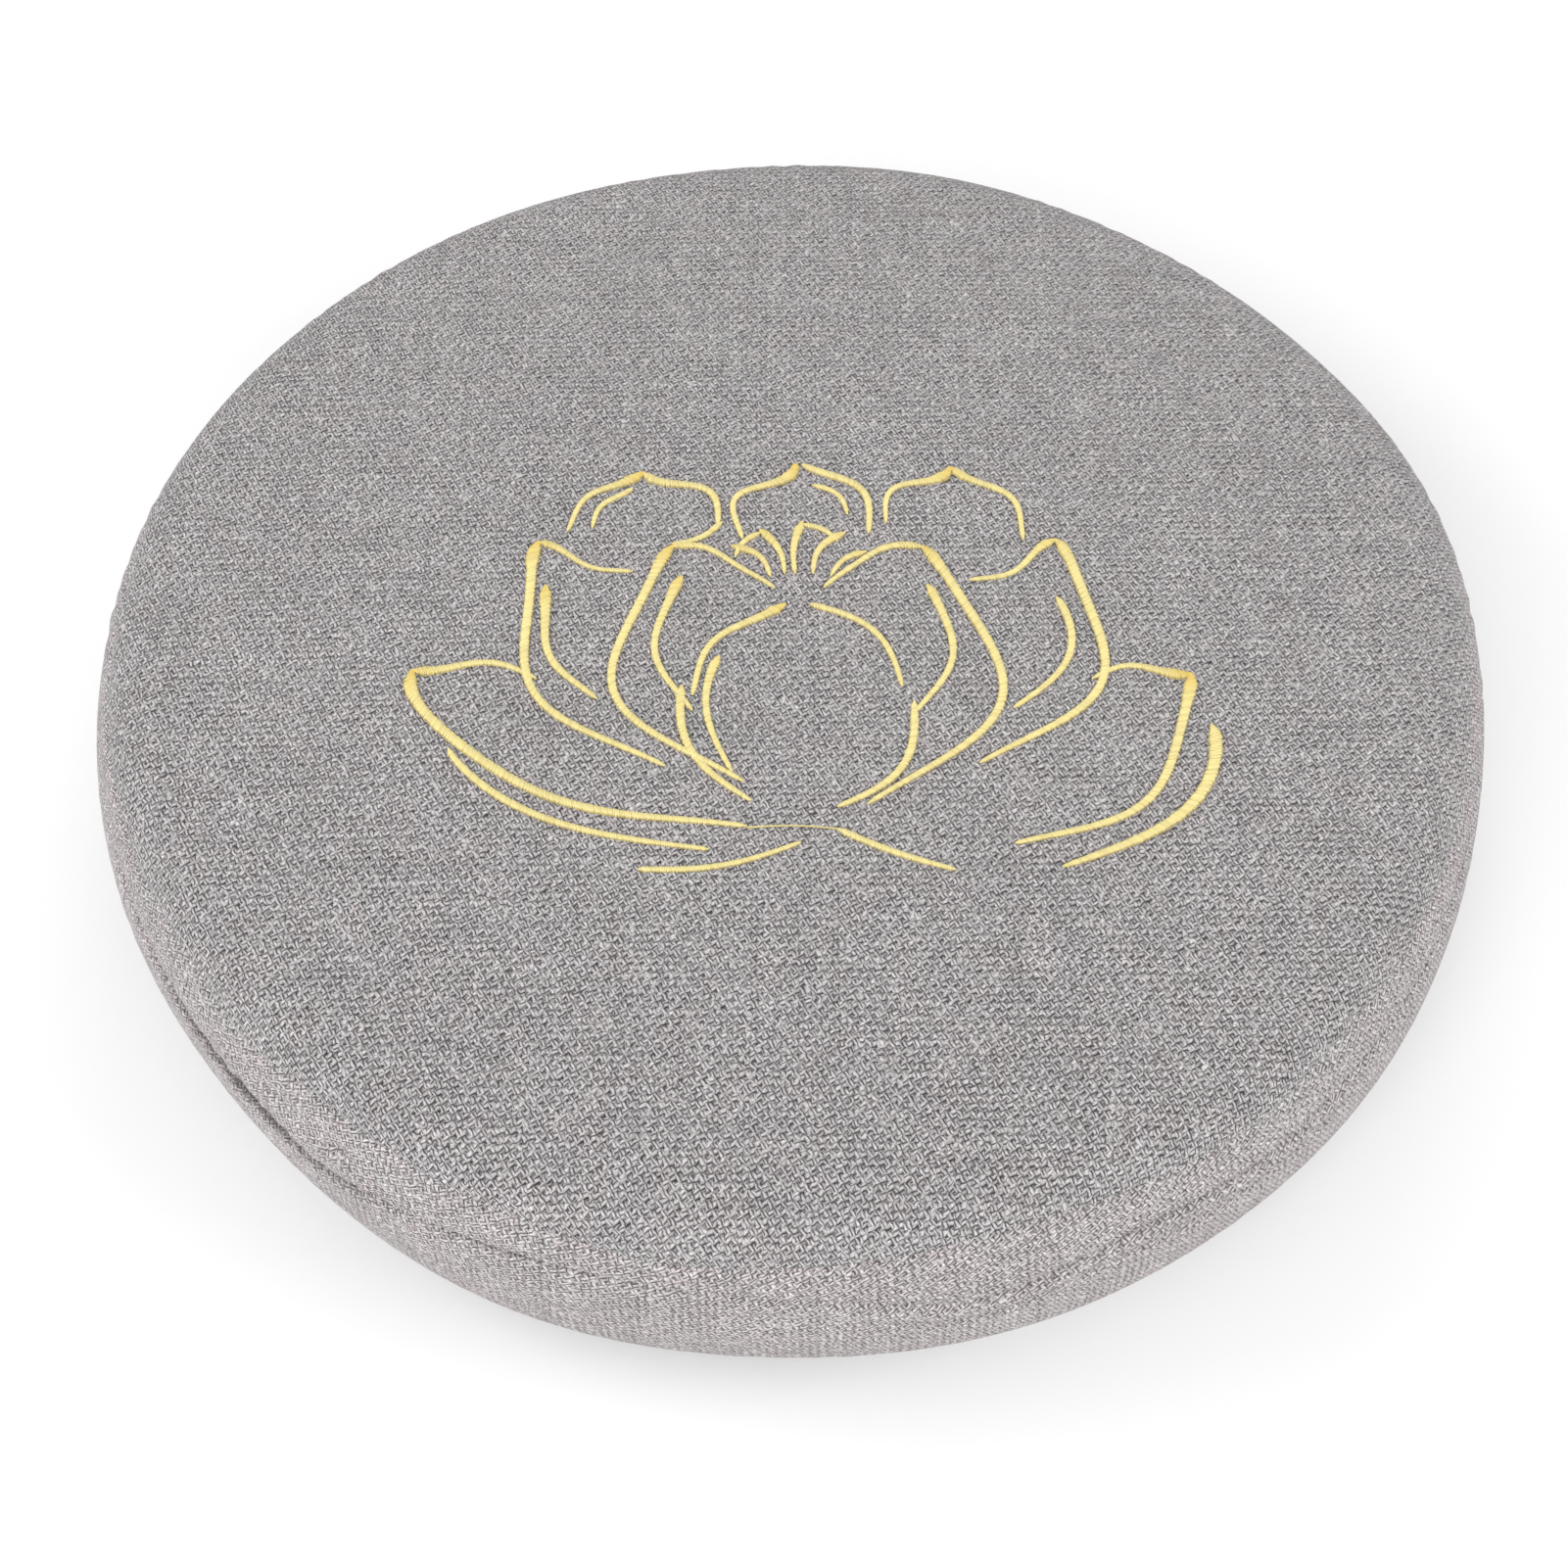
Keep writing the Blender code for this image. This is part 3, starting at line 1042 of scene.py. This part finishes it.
def weave_group():
    group, w, given, result = new_group(
        "plain_weave", "ShaderNodeTree", WEAVE_INPUTS, WEAVE_OUTPUTS
    )
    cloth = u, v = w.plane(given["Cloth"])
    warp_yarn, across_warp = counted(
        w, cloth, u, given["Warp Pitch"], given["Wander"], NOISE_START["warp"]
    )
    weft_yarn, across_weft = counted(
        w, cloth, v, given["Weft Pitch"], given["Wander"], NOISE_START["weft"]
    )
    weft_over = w.math("FLOORED_MODULO", warp_yarn + weft_yarn, 2.0) * 2 - 1
    crossing = {"Vector": w.vector(warp_yarn, weft_yarn)}
    chance = w.output("ShaderNodeTexWhiteNoise", "Value", crossing, noise_dimensions="2D")
    lift = LIFT * (1 - LIFT_SPREAD) + chance * (2 * LIFT * LIFT_SPREAD)

    weave = {"slub": given["Slub"], "lift": lift}
    warp_run = {"length": v, "lean": LEAN, "start": NOISE_START["warp slubs"]}
    weft_run = {"length": u, "lean": -LEAN, "start": NOISE_START["weft slubs"]}
    warp, warp_top, _ = ridge(
        w, weave, warp_run, warp_yarn, across_warp, across_weft, weft_over * -1
    )
    weft, weft_top, weft_side = ridge(
        w, weave, weft_run, weft_yarn, across_weft, across_warp, weft_over
    )
    warp_shows = w.math("GREATER_THAN", warp, weft)
    height = w.at_least(w.at_least(warp, weft), LOWEST)
    border = 1 - w.ramp(w.size(warp - weft), *BORDER_RANGE)
    sunk = 1 - w.ramp(height, *SUNK_RANGE)

    yarn = w.mix(warp_shows, weft_top + NOISE_START["weft yarns"], warp_top)
    length = w.mix(warp_shows, u, v)
    arch, groove, fibre = twisted(w, cloth, warp_shows, yarn, length)
    shadow, painted_highlight = dive_shadow(w, warp_shows, weft_side, across_warp, across_weft, chance)
    warp_streak = streaks(w, warp_yarn, v, NOISE_START["warp streaks"])
    weft_streak = streaks(w, weft_yarn, u, NOISE_START["weft streaks"])
    shade = w.noise(yarn * NOISE_STEP["shade"], length / SHADE_LENGTH, SHADE_DETAIL)
    # Painted shade: the colour darkens at yarn borders, in hollows, on diving yarns and in ply
    # grooves.
    gap_shade = border * BORDER_SHADE + sunk * SUNK_SHADE + shadow * given["Shadow"]
    w.feed(result, {
        "Height": height + arch * PLY_RELIEF + fibre * FIBRE_RELIEF - groove * GROOVE_RELIEF,
        "Gap Shade": w.math("MINIMUM", gap_shade + groove * given["Groove Shade"], 1.0),
        "Shade": shade + (chance - 0.5) * SHADE_CHANCE,
        "Fibre": fibre,
        "Highlight and Streaks": 1 + painted_highlight * given["Shadow"] + (warp_streak + weft_streak - 1) * STREAK_GLOW,
    })
    return group


PLAIN_WEAVE = weave_group()
print("weave group nodes:", len(PLAIN_WEAVE.nodes))

# %% [markdown]
# ## One cloth in two copies
# It is one cloth, but seen along the turned yarns, where light and sheen fall on the side, the
# bands look a little lighter and pinker than the top. So the bands get a copy of the material
# painted lighter and pinker, which is painted light; each copy has the same weave group inside.
# The colour drifts between a pinkish and a greenish grey, as in heather yarn. The mask of the
# folds paints shadow on the cloth, more in the gaps of the weave than on its yarns, so that a
# fold looks like cloth in shadow and not like a drawn line. Wool-like fuzz is left to a low
# sheen, set on the shader itself.

# %% Cloth materials
# The gap colour of each row is painted shade, the colour that the hollows of the weave fall to.
CLOTH_COLUMNS = ("name", "dark", "light", "gap_shade", "groove", "shadow")
CLOTHS = (
    ("top_cloth", (0.520, 0.497, 0.499), (0.612, 0.585, 0.588), (0.034, 0.027, 0.029), 1.00, 1.05),
    # The band copy is painted lighter and pinker: painted light, for how light and sheen fall on
    # the side.
    ("band_cloth", (0.605, 0.559, 0.565), (0.700, 0.647, 0.653), (0.066, 0.048, 0.053), 0.92, 0.6),
)
CLOTH_WANDER = 0.78
PINK_CAST = (1.018, 0.992, 0.998)
GREEN_CAST = (0.982, 1.006, 0.998)
CAST_SIZE = 11 * MM
CAST_RANGE = (0.35, 0.65)
SHADE_RANGE = (0.22, 0.8)
FIBRE_CONTRAST = 0.6
# the dark colour painted as shadow in the folds
FOLD_SHADOW_COLOUR = (0.060, 0.038, 0.042)
FOLD_ON_GAPS = 0.5
FOLD_ON_FIBRES = 1.1
FOLD_ANYWHERE = 0.1
WEAVE_RELIEF = 1.0 * MM
CLOTH_ROUGHNESS = 0.92
FIBRE_SMOOTHNESS = 0.15
CLOTH_SHADER = {"Specular IOR Level": 0.25, "Sheen Weight": 0.18, "Sheen Roughness": 0.45}


def new_material(name):
    """A material, the wiring for it and the sockets of its shader."""
    material = bpy.data.materials.new(name)
    material.use_nodes = True
    shader = material.node_tree.nodes["Principled BSDF"]
    return material, Wiring(material.node_tree), shader.inputs


def cloth_material(row):
    material, w, shader = new_material(row["name"])
    weave = w.outputs(w.add("ShaderNodeGroup", {
        "Cloth": w.output("ShaderNodeUVMap", "UV", uv_map="cloth"),
        "Wander": CLOTH_WANDER,
        "Groove Shade": row["groove"],
        "Shadow": row["shadow"],
    }, node_tree=PLAIN_WEAVE))
    place = w.output("ShaderNodeTexCoord", "Object")
    cast = w.output("ShaderNodeTexNoise", "Fac", {"Vector": place, "Scale": 1 / CAST_SIZE})
    tint = w.blend(w.ramp(cast, *CAST_RANGE), PINK_CAST, GREEN_CAST)
    yarn = w.blend(w.ramp(weave["Shade"], *SHADE_RANGE), row["dark"], row["light"])
    yarn = w.blend(1.0, yarn, tint, "MULTIPLY")
    fibres = 1 - FIBRE_CONTRAST + weave["Fibre"] * (2 * FIBRE_CONTRAST)
    # Painted highlight where the yarns lie high, and the paler streaks of the yarns, lighten the
    # colour.
    yarn = w.blend(1.0, yarn, fibres * weave["Highlight and Streaks"], "MULTIPLY")
    # Painted shade: the hollows and grooves of the weave fall to the dark gap colour.
    cloth = w.blend(weave["Gap Shade"], yarn, row["gap_shade"])
    # Painted shadow in the folds: the mask, broken up by the weave, darkens the cloth.
    fold_shadow_share = w.output("ShaderNodeAttribute", "Fac", attribute_name="fold_shadow")
    broken = weave["Gap Shade"] * FOLD_ON_GAPS + weave["Fibre"] * FOLD_ON_FIBRES + FOLD_ANYWHERE
    fold_shadow_share = w.math("MINIMUM", fold_shadow_share * broken, 1.0)
    relief = {"Height": weave["Height"], "Distance": WEAVE_RELIEF, "Strength": 1.0}
    w.feed(shader, {
        "Base Color": w.blend(fold_shadow_share, cloth, FOLD_SHADOW_COLOUR),
        "Roughness": CLOTH_ROUGHNESS - weave["Fibre"] * FIBRE_SMOOTHNESS,
        "Normal": w.output("ShaderNodeBump", "Normal", relief),
        **CLOTH_SHADER,
    })
    return material


cloth_copies = {row["name"]: cloth_material(row) for row in rows(CLOTH_COLUMNS, CLOTHS)}
for material in cloth_copies.values():
    cover_mesh.materials.append(material)
quad_slots = np.repeat([int(panel in BAND_PANELS) for panel in ring_panel[1:]], AZIMUTH_STEPS)
face_slots = np.concatenate([quad_slots, np.zeros(2 * AZIMUTH_STEPS, int)])
cover_mesh.polygons.foreach_set("material_index", face_slots.astype(np.int32))
cover_mesh.update()
print("cloth on faces:", dict(zip(cloth_copies, np.bincount(face_slots).tolist())))

# %% [markdown]
# ## The flower in gold thread
# Machine embroidery lays bright thread back and forth across each line, so close that the line
# looks solid. It shows as satin: every stitch catches the light along its length. The flower
# here is a plain open lotus of its own drawing, with strokes like those of a brush: heavy where
# they start and thin where they end. Each could be a curve drawn by hand, but a stroke needs
# only its two ends, how far and where it bulges, and three widths. So one row of the table is
# one stroke, in millimetres from the middle of the top, and belly is the share of the way at
# which it bulges most.

# %% The strokes of the flower
STROKE_COLUMNS = (
    "name", "x0", "y0", "x1", "y1", "bulge", "belly", "ogee", "head", "middle", "tail",
)
STROKES = (
    ("heart left upper", -2, -2, -27, -33, -7, 0.50, 2.0, 4.2, 2.4, 1.7),
    ("heart left lower", -30, -30, -11, -67, -7, 0.48, 0.0, 3.0, 2.7, 1.4),
    ("heart right upper", 5, -2, 30, -30, 7, 0.50, 0.0, 2.2, 2.2, 1.5),
    ("heart right lower", 33, -35, 12, -69, 8, 0.50, 0.0, 2.0, 2.7, 1.5),
    ("heart echo", -20, -20, -16, -58, -5, 0.45, 0.0, 3.4, 2.4, 1.4),
    ("inner left outer", -34, 19, -13, -61, -27, 0.44, 9.0, 5.6, 3.0, 1.4),
    ("inner left near", -34, 19, -5, 4, 3, 0.50, 2.4, 3.0, 2.0, 1.4),
    ("inner left echo", -31, 8, -27, -38, -9, 0.45, 2.5, 4.6, 2.6, 1.4),
    ("inner right outer", 37, 19, 20, -68, 30, 0.44, -9.0, 5.0, 3.1, 1.5),
    ("inner right near", 37, 19, 9, 4, -4, 0.50, -2.0, 3.0, 2.2, 1.4),
    ("inner right echo", 38, 5, 33, -39, 9, 0.45, -2.0, 3.4, 2.6, 1.4),
    ("middle left outer", -72, 21, -34, -56, -22, 0.42, 9.0, 6.4, 3.1, 1.4),
    ("middle left near", -72, 21, -45, 10, -2.5, 0.50, 2.0, 3.2, 1.8, 1.3),
    ("middle left echo", -69, 5, -53, -34, -7, 0.45, 2.5, 5.0, 2.8, 1.5),
    ("middle right outer", 75, 22, 50, -55, 25, 0.42, -9.0, 4.4, 3.3, 1.4),
    ("middle right near", 75, 22, 50, 7, 3.5, 0.50, -2.2, 3.6, 2.2, 1.4),
    ("middle right echo", 74, 1, 60, -37, 9, 0.45, 0.0, 2.6, 2.6, 1.4),
    ("outer left under", -104, -24, -12, -75, -19, 0.34, 5.0, 6.2, 3.3, 1.4),
    ("outer left over", -104, -24, -70, -27, 4.0, 0.58, -1.2, 3.8, 2.4, 1.4),
    ("outer left echo", -92, -50, -22, -82, -9, 0.42, 0.0, 1.8, 2.4, 1.3),
    ("outer right under", 109, -25, 58, -80, 17, 0.44, -5.0, 5.6, 3.0, 1.4),
    ("outer right over", 109, -25, 82, -27, -3.5, 0.58, 1.2, 5.0, 2.2, 1.4),
    ("outer right echo", 113, -42, 70, -87, 12, 0.40, 0.0, 4.2, 3.8, 1.5),
    ("back left outer", -43, 47, -64, 25, -5, 0.45, 3.0, 5.6, 2.2, 1.4),
    ("back left near", -43, 47, -21, 27, 7, 0.62, -2.0, 3.4, 2.8, 1.8),
    ("back left hook", -20, 28, -34, 20, 2, 0.50, 0.0, 2.2, 2.0, 1.3),
    ("back left echo", -46, 41, -57, 26, -3, 0.50, 1.0, 2.0, 2.0, 1.3),
    ("back centre left", 1, 50, -14, 22, -8, 0.55, 5.0, 6.4, 2.4, 1.6),
    ("back centre right", 3, 50, 22, 24, 8, 0.50, -2.0, 2.4, 2.8, 1.8),
    ("back centre echo", 6, 42, 16, 31, 3, 0.50, 0.0, 1.8, 2.0, 1.3),
    ("back right outer", 46, 49, 66, 22, 7, 0.45, -4.0, 3.6, 2.4, 1.5),
    ("back right near", 46, 49, 27, 28, -6, 0.60, 3.0, 5.4, 2.3, 1.4),
    ("stamen far left", -17, 19, -6, 8, 3.0, 0.5, 0, 3.2, 1.9, 1.3),
    ("stamen left", -9, 25, -2, 9, 2.0, 0.5, 0, 3.4, 2.0, 1.3),
    ("stamen tie", -9, 24, -16, 15, -1.5, 0.5, 0, 2.2, 1.8, 1.3),
    ("stamen middle", 3, 28, 1, 9, -1.4, 0.5, 0, 3.4, 2.2, 1.4),
    ("stamen cross", 3, 27, 13, 21, 1.5, 0.5, 0, 2.0, 1.8, 1.3),
    ("stamen right", 15, 24, 6, 9, -3.0, 0.5, 0, 3.2, 2.2, 1.4),
    ("stamen far right", 21, 17, 11, 8, -2.0, 0.5, 0, 2.6, 1.8, 1.3),
    ("under left", -40, -88, 2, -80, -3, 0.5, 0, 1.7, 1.9, 1.3),
    ("jump thread", -12, -75.5, 13, -76, 0.8, 0.5, 0, 0.5, 0.4, 0.4),
    ("under right", 12, -76, 42, -88, -1.0, 0.5, 0, 2.0, 2.2, 1.4),
)

# %% Turn each row into a line with a width
STROKE_POINTS = 60
HEAD_LENGTH = 6 * MM
HEAD_FALL = 1.5
MIDDLE_FALL = 0.8
POINT_WIDTH = 0.25  # of a stroke's very start, as a share of the width there
POINT_LENGTH = 0.8  # in head widths
TIP_WIDTH = 0.2
FULL_GOLD = 2.5 * MM  # a head is deepest gold when it is this much wider than the middle
TRUE_SIZES = ("x0", "y0", "x1", "y1", "bulge", "ogee", "head", "middle", "tail")


def stroke_line(row):
    """Points on one stroke, bulging to the left of its chord, and the width and the depth of
    gold at each; the deeper gold is a painted shade of the satin's sheen, laid on the heavy head."""
    size = {key: row[key] * MM for key in TRUE_SIZES}
    share = np.linspace(0, 1, STROKE_POINTS)
    start, end = np.array([size["x0"], size["y0"]]), np.array([size["x1"], size["y1"]])
    chord = end - start
    left = np.array([-chord[1], chord[0]]) / np.hypot(*chord)
    skew = math.log(0.5) / math.log(row["belly"])
    aside = size["bulge"] * np.sin(np.pi * share**skew)
    aside += size["ogee"] * np.sin(2 * np.pi * share) * (1 - share)
    points = start + np.outer(share, chord) + np.outer(aside, left)
    done = np.concatenate([[0], np.cumsum(np.hypot(*np.diff(points, axis=0).T))])
    fade = np.cos(np.pi / 2 * done / done[-1]).clip(0) ** MIDDLE_FALL
    heavy = np.exp(-((done / HEAD_LENGTH) ** HEAD_FALL))
    width = size["tail"] + (size["middle"] - size["tail"]) * fade
    width += (size["head"] - size["middle"]) * heavy
    past_point = done / (POINT_LENGTH * size["head"])
    width *= np.clip(POINT_WIDTH + (1 - POINT_WIDTH) * past_point, 0, 1)
    width *= np.sqrt(np.clip((done[-1] - done) / size["tail"], TIP_WIDTH, 1))
    # Painted shade: the deeper gold stands in for the satin's sheen at the heavy head.
    gold = heavy * np.clip((size["head"] - size["middle"]) / FULL_GOLD, 0, 1)
    return points, width, gold, done[-1]


stroke_lines = [stroke_line(row) for row in rows(STROKE_COLUMNS, STROKES)]
print(f"{len(stroke_lines)} strokes, {sum(line[-1] for line in stroke_lines):.2f} m of line")

# %% Lay the lines on the top panel
STITCH_SINK = 0.10 * MM
cover_tree = BVHTree.FromObject(cover, bpy.context.evaluated_depsgraph_get())


def on_cover(x, y):
    return top_height(cover_tree, x, y) - STITCH_SINK


def stroke_mesh(name, lines):
    """One mesh of plain edges, a chain for each stroke, with width and painted sheen gold on its
    points.
    """
    mesh = bpy.data.meshes.new(name)
    points = np.concatenate([line[0] for line in lines])
    edges = [
        (first + step, first + step + 1)
        for first in range(0, len(points), STROKE_POINTS)
        for step in range(STROKE_POINTS - 1)
    ]
    mesh.from_pydata([(x, y, on_cover(x, y)) for x, y in points], edges, [])
    for column, label in ((1, "width"), (2, "gold")):
        values = mesh.attributes.new(label, "FLOAT", "POINT")
        whole = np.concatenate([line[column] for line in lines])
        values.data.foreach_set("value", whole.astype(np.float32))
    return mesh


flower = linked("lotus_embroidery", stroke_mesh("lotus_embroidery", stroke_lines))
print("points on the strokes:", len(flower.data.vertices))

# %% One stitch
STITCH_WIDTH = 0.50 * MM
STITCH_PROFILE = ((0.5, 0.0), (0.28, 0.8), (-0.28, 0.8), (-0.5, 0.0))
STITCH_STATIONS = ((-0.5, -0.5), (-0.41, 0.72), (0.0, 1.0), (0.41, 0.72), (0.5, -0.5))
STITCH_ROUND = 0.45  # rise of the thread's own round back, beside that of the arch


def stitch_mesh():
    """A closed arch of thread, one long in Y and one high, which is stretched to each width."""
    mesh = bmesh.new()
    threads = mesh.loops.layers.uv.new("thread")
    rings = [
        [mesh.verts.new((x * STITCH_WIDTH, y, rise + STITCH_ROUND * z)) for x, z in STITCH_PROFILE]
        for y, rise in STITCH_STATIONS
    ]
    for before, after in zip(rings, rings[1:]):
        for side in range(len(STITCH_PROFILE)):
            other = (side + 1) % len(STITCH_PROFILE)
            mesh.faces.new((before[side], after[side], after[other], before[other]))
    mesh.faces.new(rings[0])
    mesh.faces.new(reversed(rings[-1]))
    bmesh.ops.recalc_face_normals(mesh, faces=mesh.faces)
    for face in mesh.faces:
        for loop in face.loops:
            loop[threads].uv = (loop.vert.co.x / STITCH_WIDTH + 0.5, loop.vert.co.y + 0.5)
    data = bpy.data.meshes.new("satin_stitch")
    mesh.to_mesh(data)
    mesh.free()
    data.shade_smooth()
    return data


stitch = linked("satin_stitch", stitch_mesh())
print("one stitch:", sum(len(face.vertices) - 2 for face in stitch.data.polygons), "triangles")

# %% [markdown]
# ## Satin by Geometry Nodes
# Thousands of stitches follow the strokes, so a node tree lays them: the lines become curves,
# the curves are cut into equal steps, and one stitch stands across the line at each step,
# stretched to the line's width. Each is a little longer or shorter and turned a little more or
# less than the next, because no two needle holes lie quite in line. A heavy head is painted a
# deeper gold, a painted shade that stands in for the satin's sheen where the stitches turn, and
# the edges and ends of each stitch are painted darker, as shade where the thread curves down. The
# copies are made real at the end, because a finished piece has to be a plain mesh.

# %% Satin thread material
THREAD_SHADE = (0.46, 0.345, 0.11)
THREAD_LIGHT = (0.95, 0.83, 0.36)
# the deeper gold of the heavy heads, a painted shade of the satin's sheen
THREAD_SHEEN_SHADE_GOLD = (0.84, 0.62, 0.13)
# Painted shade: a stitch darkens towards its edges and its ends, where the thread curves down.
EDGE_RANGE = (0.35, 1.0)
EDGE_SHADE = 0.55
END_RANGE = (0.55, 1.0)
END_SHADE = 0.7
LEAST_LIGHT = 0.76
TINT_LIGHT = 0.35
THREAD_ROUGHNESS = 0.34
TINT_ROUGHNESS = 0.12
THREAD_SHADER = {"Specular IOR Level": 0.6, "Sheen Weight": 0.3, "Sheen Roughness": 0.35}


def thread_material():
    material, w, shader = new_material("gold_satin_thread")
    across, along = w.plane(w.output("ShaderNodeUVMap", "UV", uv_map="thread"))
    tint = w.output("ShaderNodeAttribute", "Fac", attribute_name="tint")
    gold = w.output("ShaderNodeAttribute", "Fac", attribute_name="gold")
    # Painted shade at the edges and ends of each stitch, where the thread curves down into the
    # cloth.
    ends = w.ramp(w.size(along * 2 - 1), *END_RANGE) * END_SHADE
    edges = w.ramp(w.size(across * 2 - 1), *EDGE_RANGE) * EDGE_SHADE
    shade = tint * TINT_LIGHT + LEAST_LIGHT - w.at_least(edges, ends)
    # Painted shade: the heavy heads turn a deeper gold in place of the satin's sheen.
    light = w.blend(gold, THREAD_LIGHT, THREAD_SHEEN_SHADE_GOLD)
    w.feed(shader, {
        "Base Color": w.blend(w.ramp(shade, 0.0, 1.0), THREAD_SHADE, light),
        "Roughness": tint * TINT_ROUGHNESS + THREAD_ROUGHNESS,
        **THREAD_SHADER,
    })
    return material


gold_thread = thread_material()

# %% The stitching tree
STITCH_INPUTS = (
    ("Lines", "NodeSocketGeometry", None),
    ("Stitch", "NodeSocketObject", None),
    ("Spacing", "NodeSocketFloat", 0.45 * MM),
    ("Slant", "NodeSocketFloat", math.radians(12)),
    ("Least Height", "NodeSocketFloat", 0.40 * MM),
    ("Height per Width", "NodeSocketFloat", 0.11),
    ("Unevenness", "NodeSocketFloat", math.radians(4)),
    ("Shortest", "NodeSocketFloat", 0.90),
    ("Longest", "NodeSocketFloat", 1.08),
    ("Seed", "NodeSocketInt", 3),
    ("Thread", "NodeSocketMaterial", None),
)


def random_number(w, least, most, seed):
    """Random Value also has hidden outputs of other kinds, so the one in use is looked for."""
    limits = {"Min": least, "Max": most, "Seed": seed}
    node = w.add("FunctionNodeRandomValue", limits, data_type="FLOAT")
    return Signal(w, next(socket for socket in node.outputs if socket.enabled))


def stitching_tree():
    group, w, given, result = new_group(
        "satin_stitching", "GeometryNodeTree", STITCH_INPUTS, (("Stitches", "NodeSocketGeometry"),)
    )
    curve = w.output("GeometryNodeMeshToCurve", "Curve", {"Mesh": given["Lines"]})
    steps = {"Curve": curve, "Length": given["Spacing"]}
    points = w.output("GeometryNodeResampleCurve", "Curve", steps, mode="LENGTH")
    wanted = {"Name": "width"}
    width = w.output("GeometryNodeInputNamedAttribute", "Attribute", wanted, data_type="FLOAT")
    forward = {"Vector": w.output("GeometryNodeInputTangent", "Tangent")}
    aim = w.output(
        "FunctionNodeAlignRotationToVector", "Rotation", forward, axis="X", pivot_axis="Z"
    )
    slant = given["Slant"] + random_number(
        w, given["Unevenness"] * -1, given["Unevenness"], given["Seed"]
    )
    turn = w.output(
        "FunctionNodeAxisAngleToRotation", "Rotation", {"Axis": (0, 0, 1), "Angle": slant}
    )
    both = {"Rotation": aim, "Rotate By": turn}
    laid = w.output("FunctionNodeRotateRotation", "Rotation", both, rotation_space="LOCAL")
    reach = width * random_number(w, given["Shortest"], given["Longest"], given["Seed"] + 1)
    height = width * given["Height per Width"] + given["Least Height"]
    stitch_inputs = {"Object": given["Stitch"], "As Instance": True}
    placed = w.output("GeometryNodeInstanceOnPoints", "Instances", {
        "Points": points,
        "Instance": w.output("GeometryNodeObjectInfo", "Geometry", stitch_inputs),
        "Rotation": laid,
        "Scale": w.vector(1.0, reach, height),
    })
    tint = {"Geometry": placed, "Name": "tint", "Value": random_number(w, 0.0, 1.0, given["Seed"])}
    tinted = w.output(
        "GeometryNodeStoreNamedAttribute", "Geometry", tint, data_type="FLOAT", domain="INSTANCE"
    )
    real = w.output("GeometryNodeRealizeInstances", "Geometry", {"Geometry": tinted})
    finish = {"Geometry": real, "Material": given["Thread"]}
    w.feed(result, {"Stitches": w.output("GeometryNodeSetMaterial", "Geometry", finish)})
    return group


def run_tree(piece, tree, values):
    """Puts a node tree on a piece, sets its inputs by identifier and keeps the plain result."""
    modifier = piece.modifiers.new(tree.name, "NODES")
    modifier.node_group = tree
    for socket in tree.interface.items_tree:
        if socket.in_out == "INPUT" and socket.name in values:
            modifier[socket.identifier] = values[socket.name]
    piece.data = evaluated_mesh(piece)
    piece.modifiers.clear()


run_tree(flower, stitching_tree(), {"Stitch": stitch, "Thread": gold_thread})
bpy.data.objects.remove(stitch)
bpy.data.objects.remove(form)
print("embroidery:", sum(len(face.vertices) - 2 for face in flower.data.polygons), "triangles")

# %% [markdown]
# ## Floor, light and tone
# The cushion lies on a plain pale floor under soft light, so that nothing distracts from the
# cloth. A large lamp in front lights the side that faces the camera more than the top, a small
# one behind picks out the far rim, and the pale surroundings fill the shadows. The view
# transform is Standard, which shows a colour as it was set.

# %% Floor
FLOOR_HALF = 4.0
FLOOR_DROP = 0.05 * MM  # keeps it from lying in the same plane as the foot
FLOOR_SHADER = {"Base Color": (0.95, 0.95, 0.95, 1), "Roughness": 0.95}


def make_floor():
    mesh = bpy.data.meshes.new("studio_floor")
    side = FLOOR_HALF
    corners = [(-side, -side, 0), (side, -side, 0), (side, side, 0), (-side, side, 0)]
    mesh.from_pydata(corners, [], [(0, 1, 2, 3)])
    floor = linked("studio_floor", mesh)
    material, w, shader = new_material("pale_floor")
    w.feed(shader, FLOOR_SHADER)
    mesh.materials.append(material)
    floor.location.z = -FLOOR_DROP
    return floor


floor = make_floor()
print("floor is", 2 * FLOOR_HALF, "m across")

# %% Lamps and surroundings
LAMP_COLUMNS = ("name", "place", "size", "power")
LAMPS = (
    ("front_lamp", (-0.6, -1.6, 1.1), 1.6, 18.5),
    ("left_lamp", (-1.6, 0.2, 0.9), 1.2, 11.5),
    ("right_lamp", (1.6, -0.4, 0.8), 1.2, 13.5),
    ("back_lamp", (0.2, 1.7, 0.9), 1.2, 6.0),
)
WHITE = (1, 1, 1, 1)
SURROUNDING_LIGHT = 0.62


def make_lamp(row):
    data = bpy.data.lights.new(row["name"], "AREA")
    data.shape = "DISK"
    data.size = row["size"]
    data.energy = row["power"]
    lamp = linked(row["name"], data)
    lamp.location = row["place"]
    lamp.rotation_euler = (-Vector(row["place"])).to_track_quat("-Z", "Y").to_euler()
    return lamp


def make_surroundings():
    world = bpy.data.worlds.new("studio")
    world.use_nodes = True
    background = world.node_tree.nodes["Background"].inputs
    Wiring(world.node_tree).feed(background, {"Color": WHITE, "Strength": SURROUNDING_LIGHT})
    bpy.context.scene.world = world


for row in rows(LAMP_COLUMNS, LAMPS):
    print("lit by", make_lamp(row).name)
make_surroundings()
bpy.context.scene.view_settings.view_transform = "Standard"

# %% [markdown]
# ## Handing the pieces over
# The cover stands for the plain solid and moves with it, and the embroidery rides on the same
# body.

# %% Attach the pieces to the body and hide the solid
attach(cover, "root")
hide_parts(CUSHION)
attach(flower, "root")
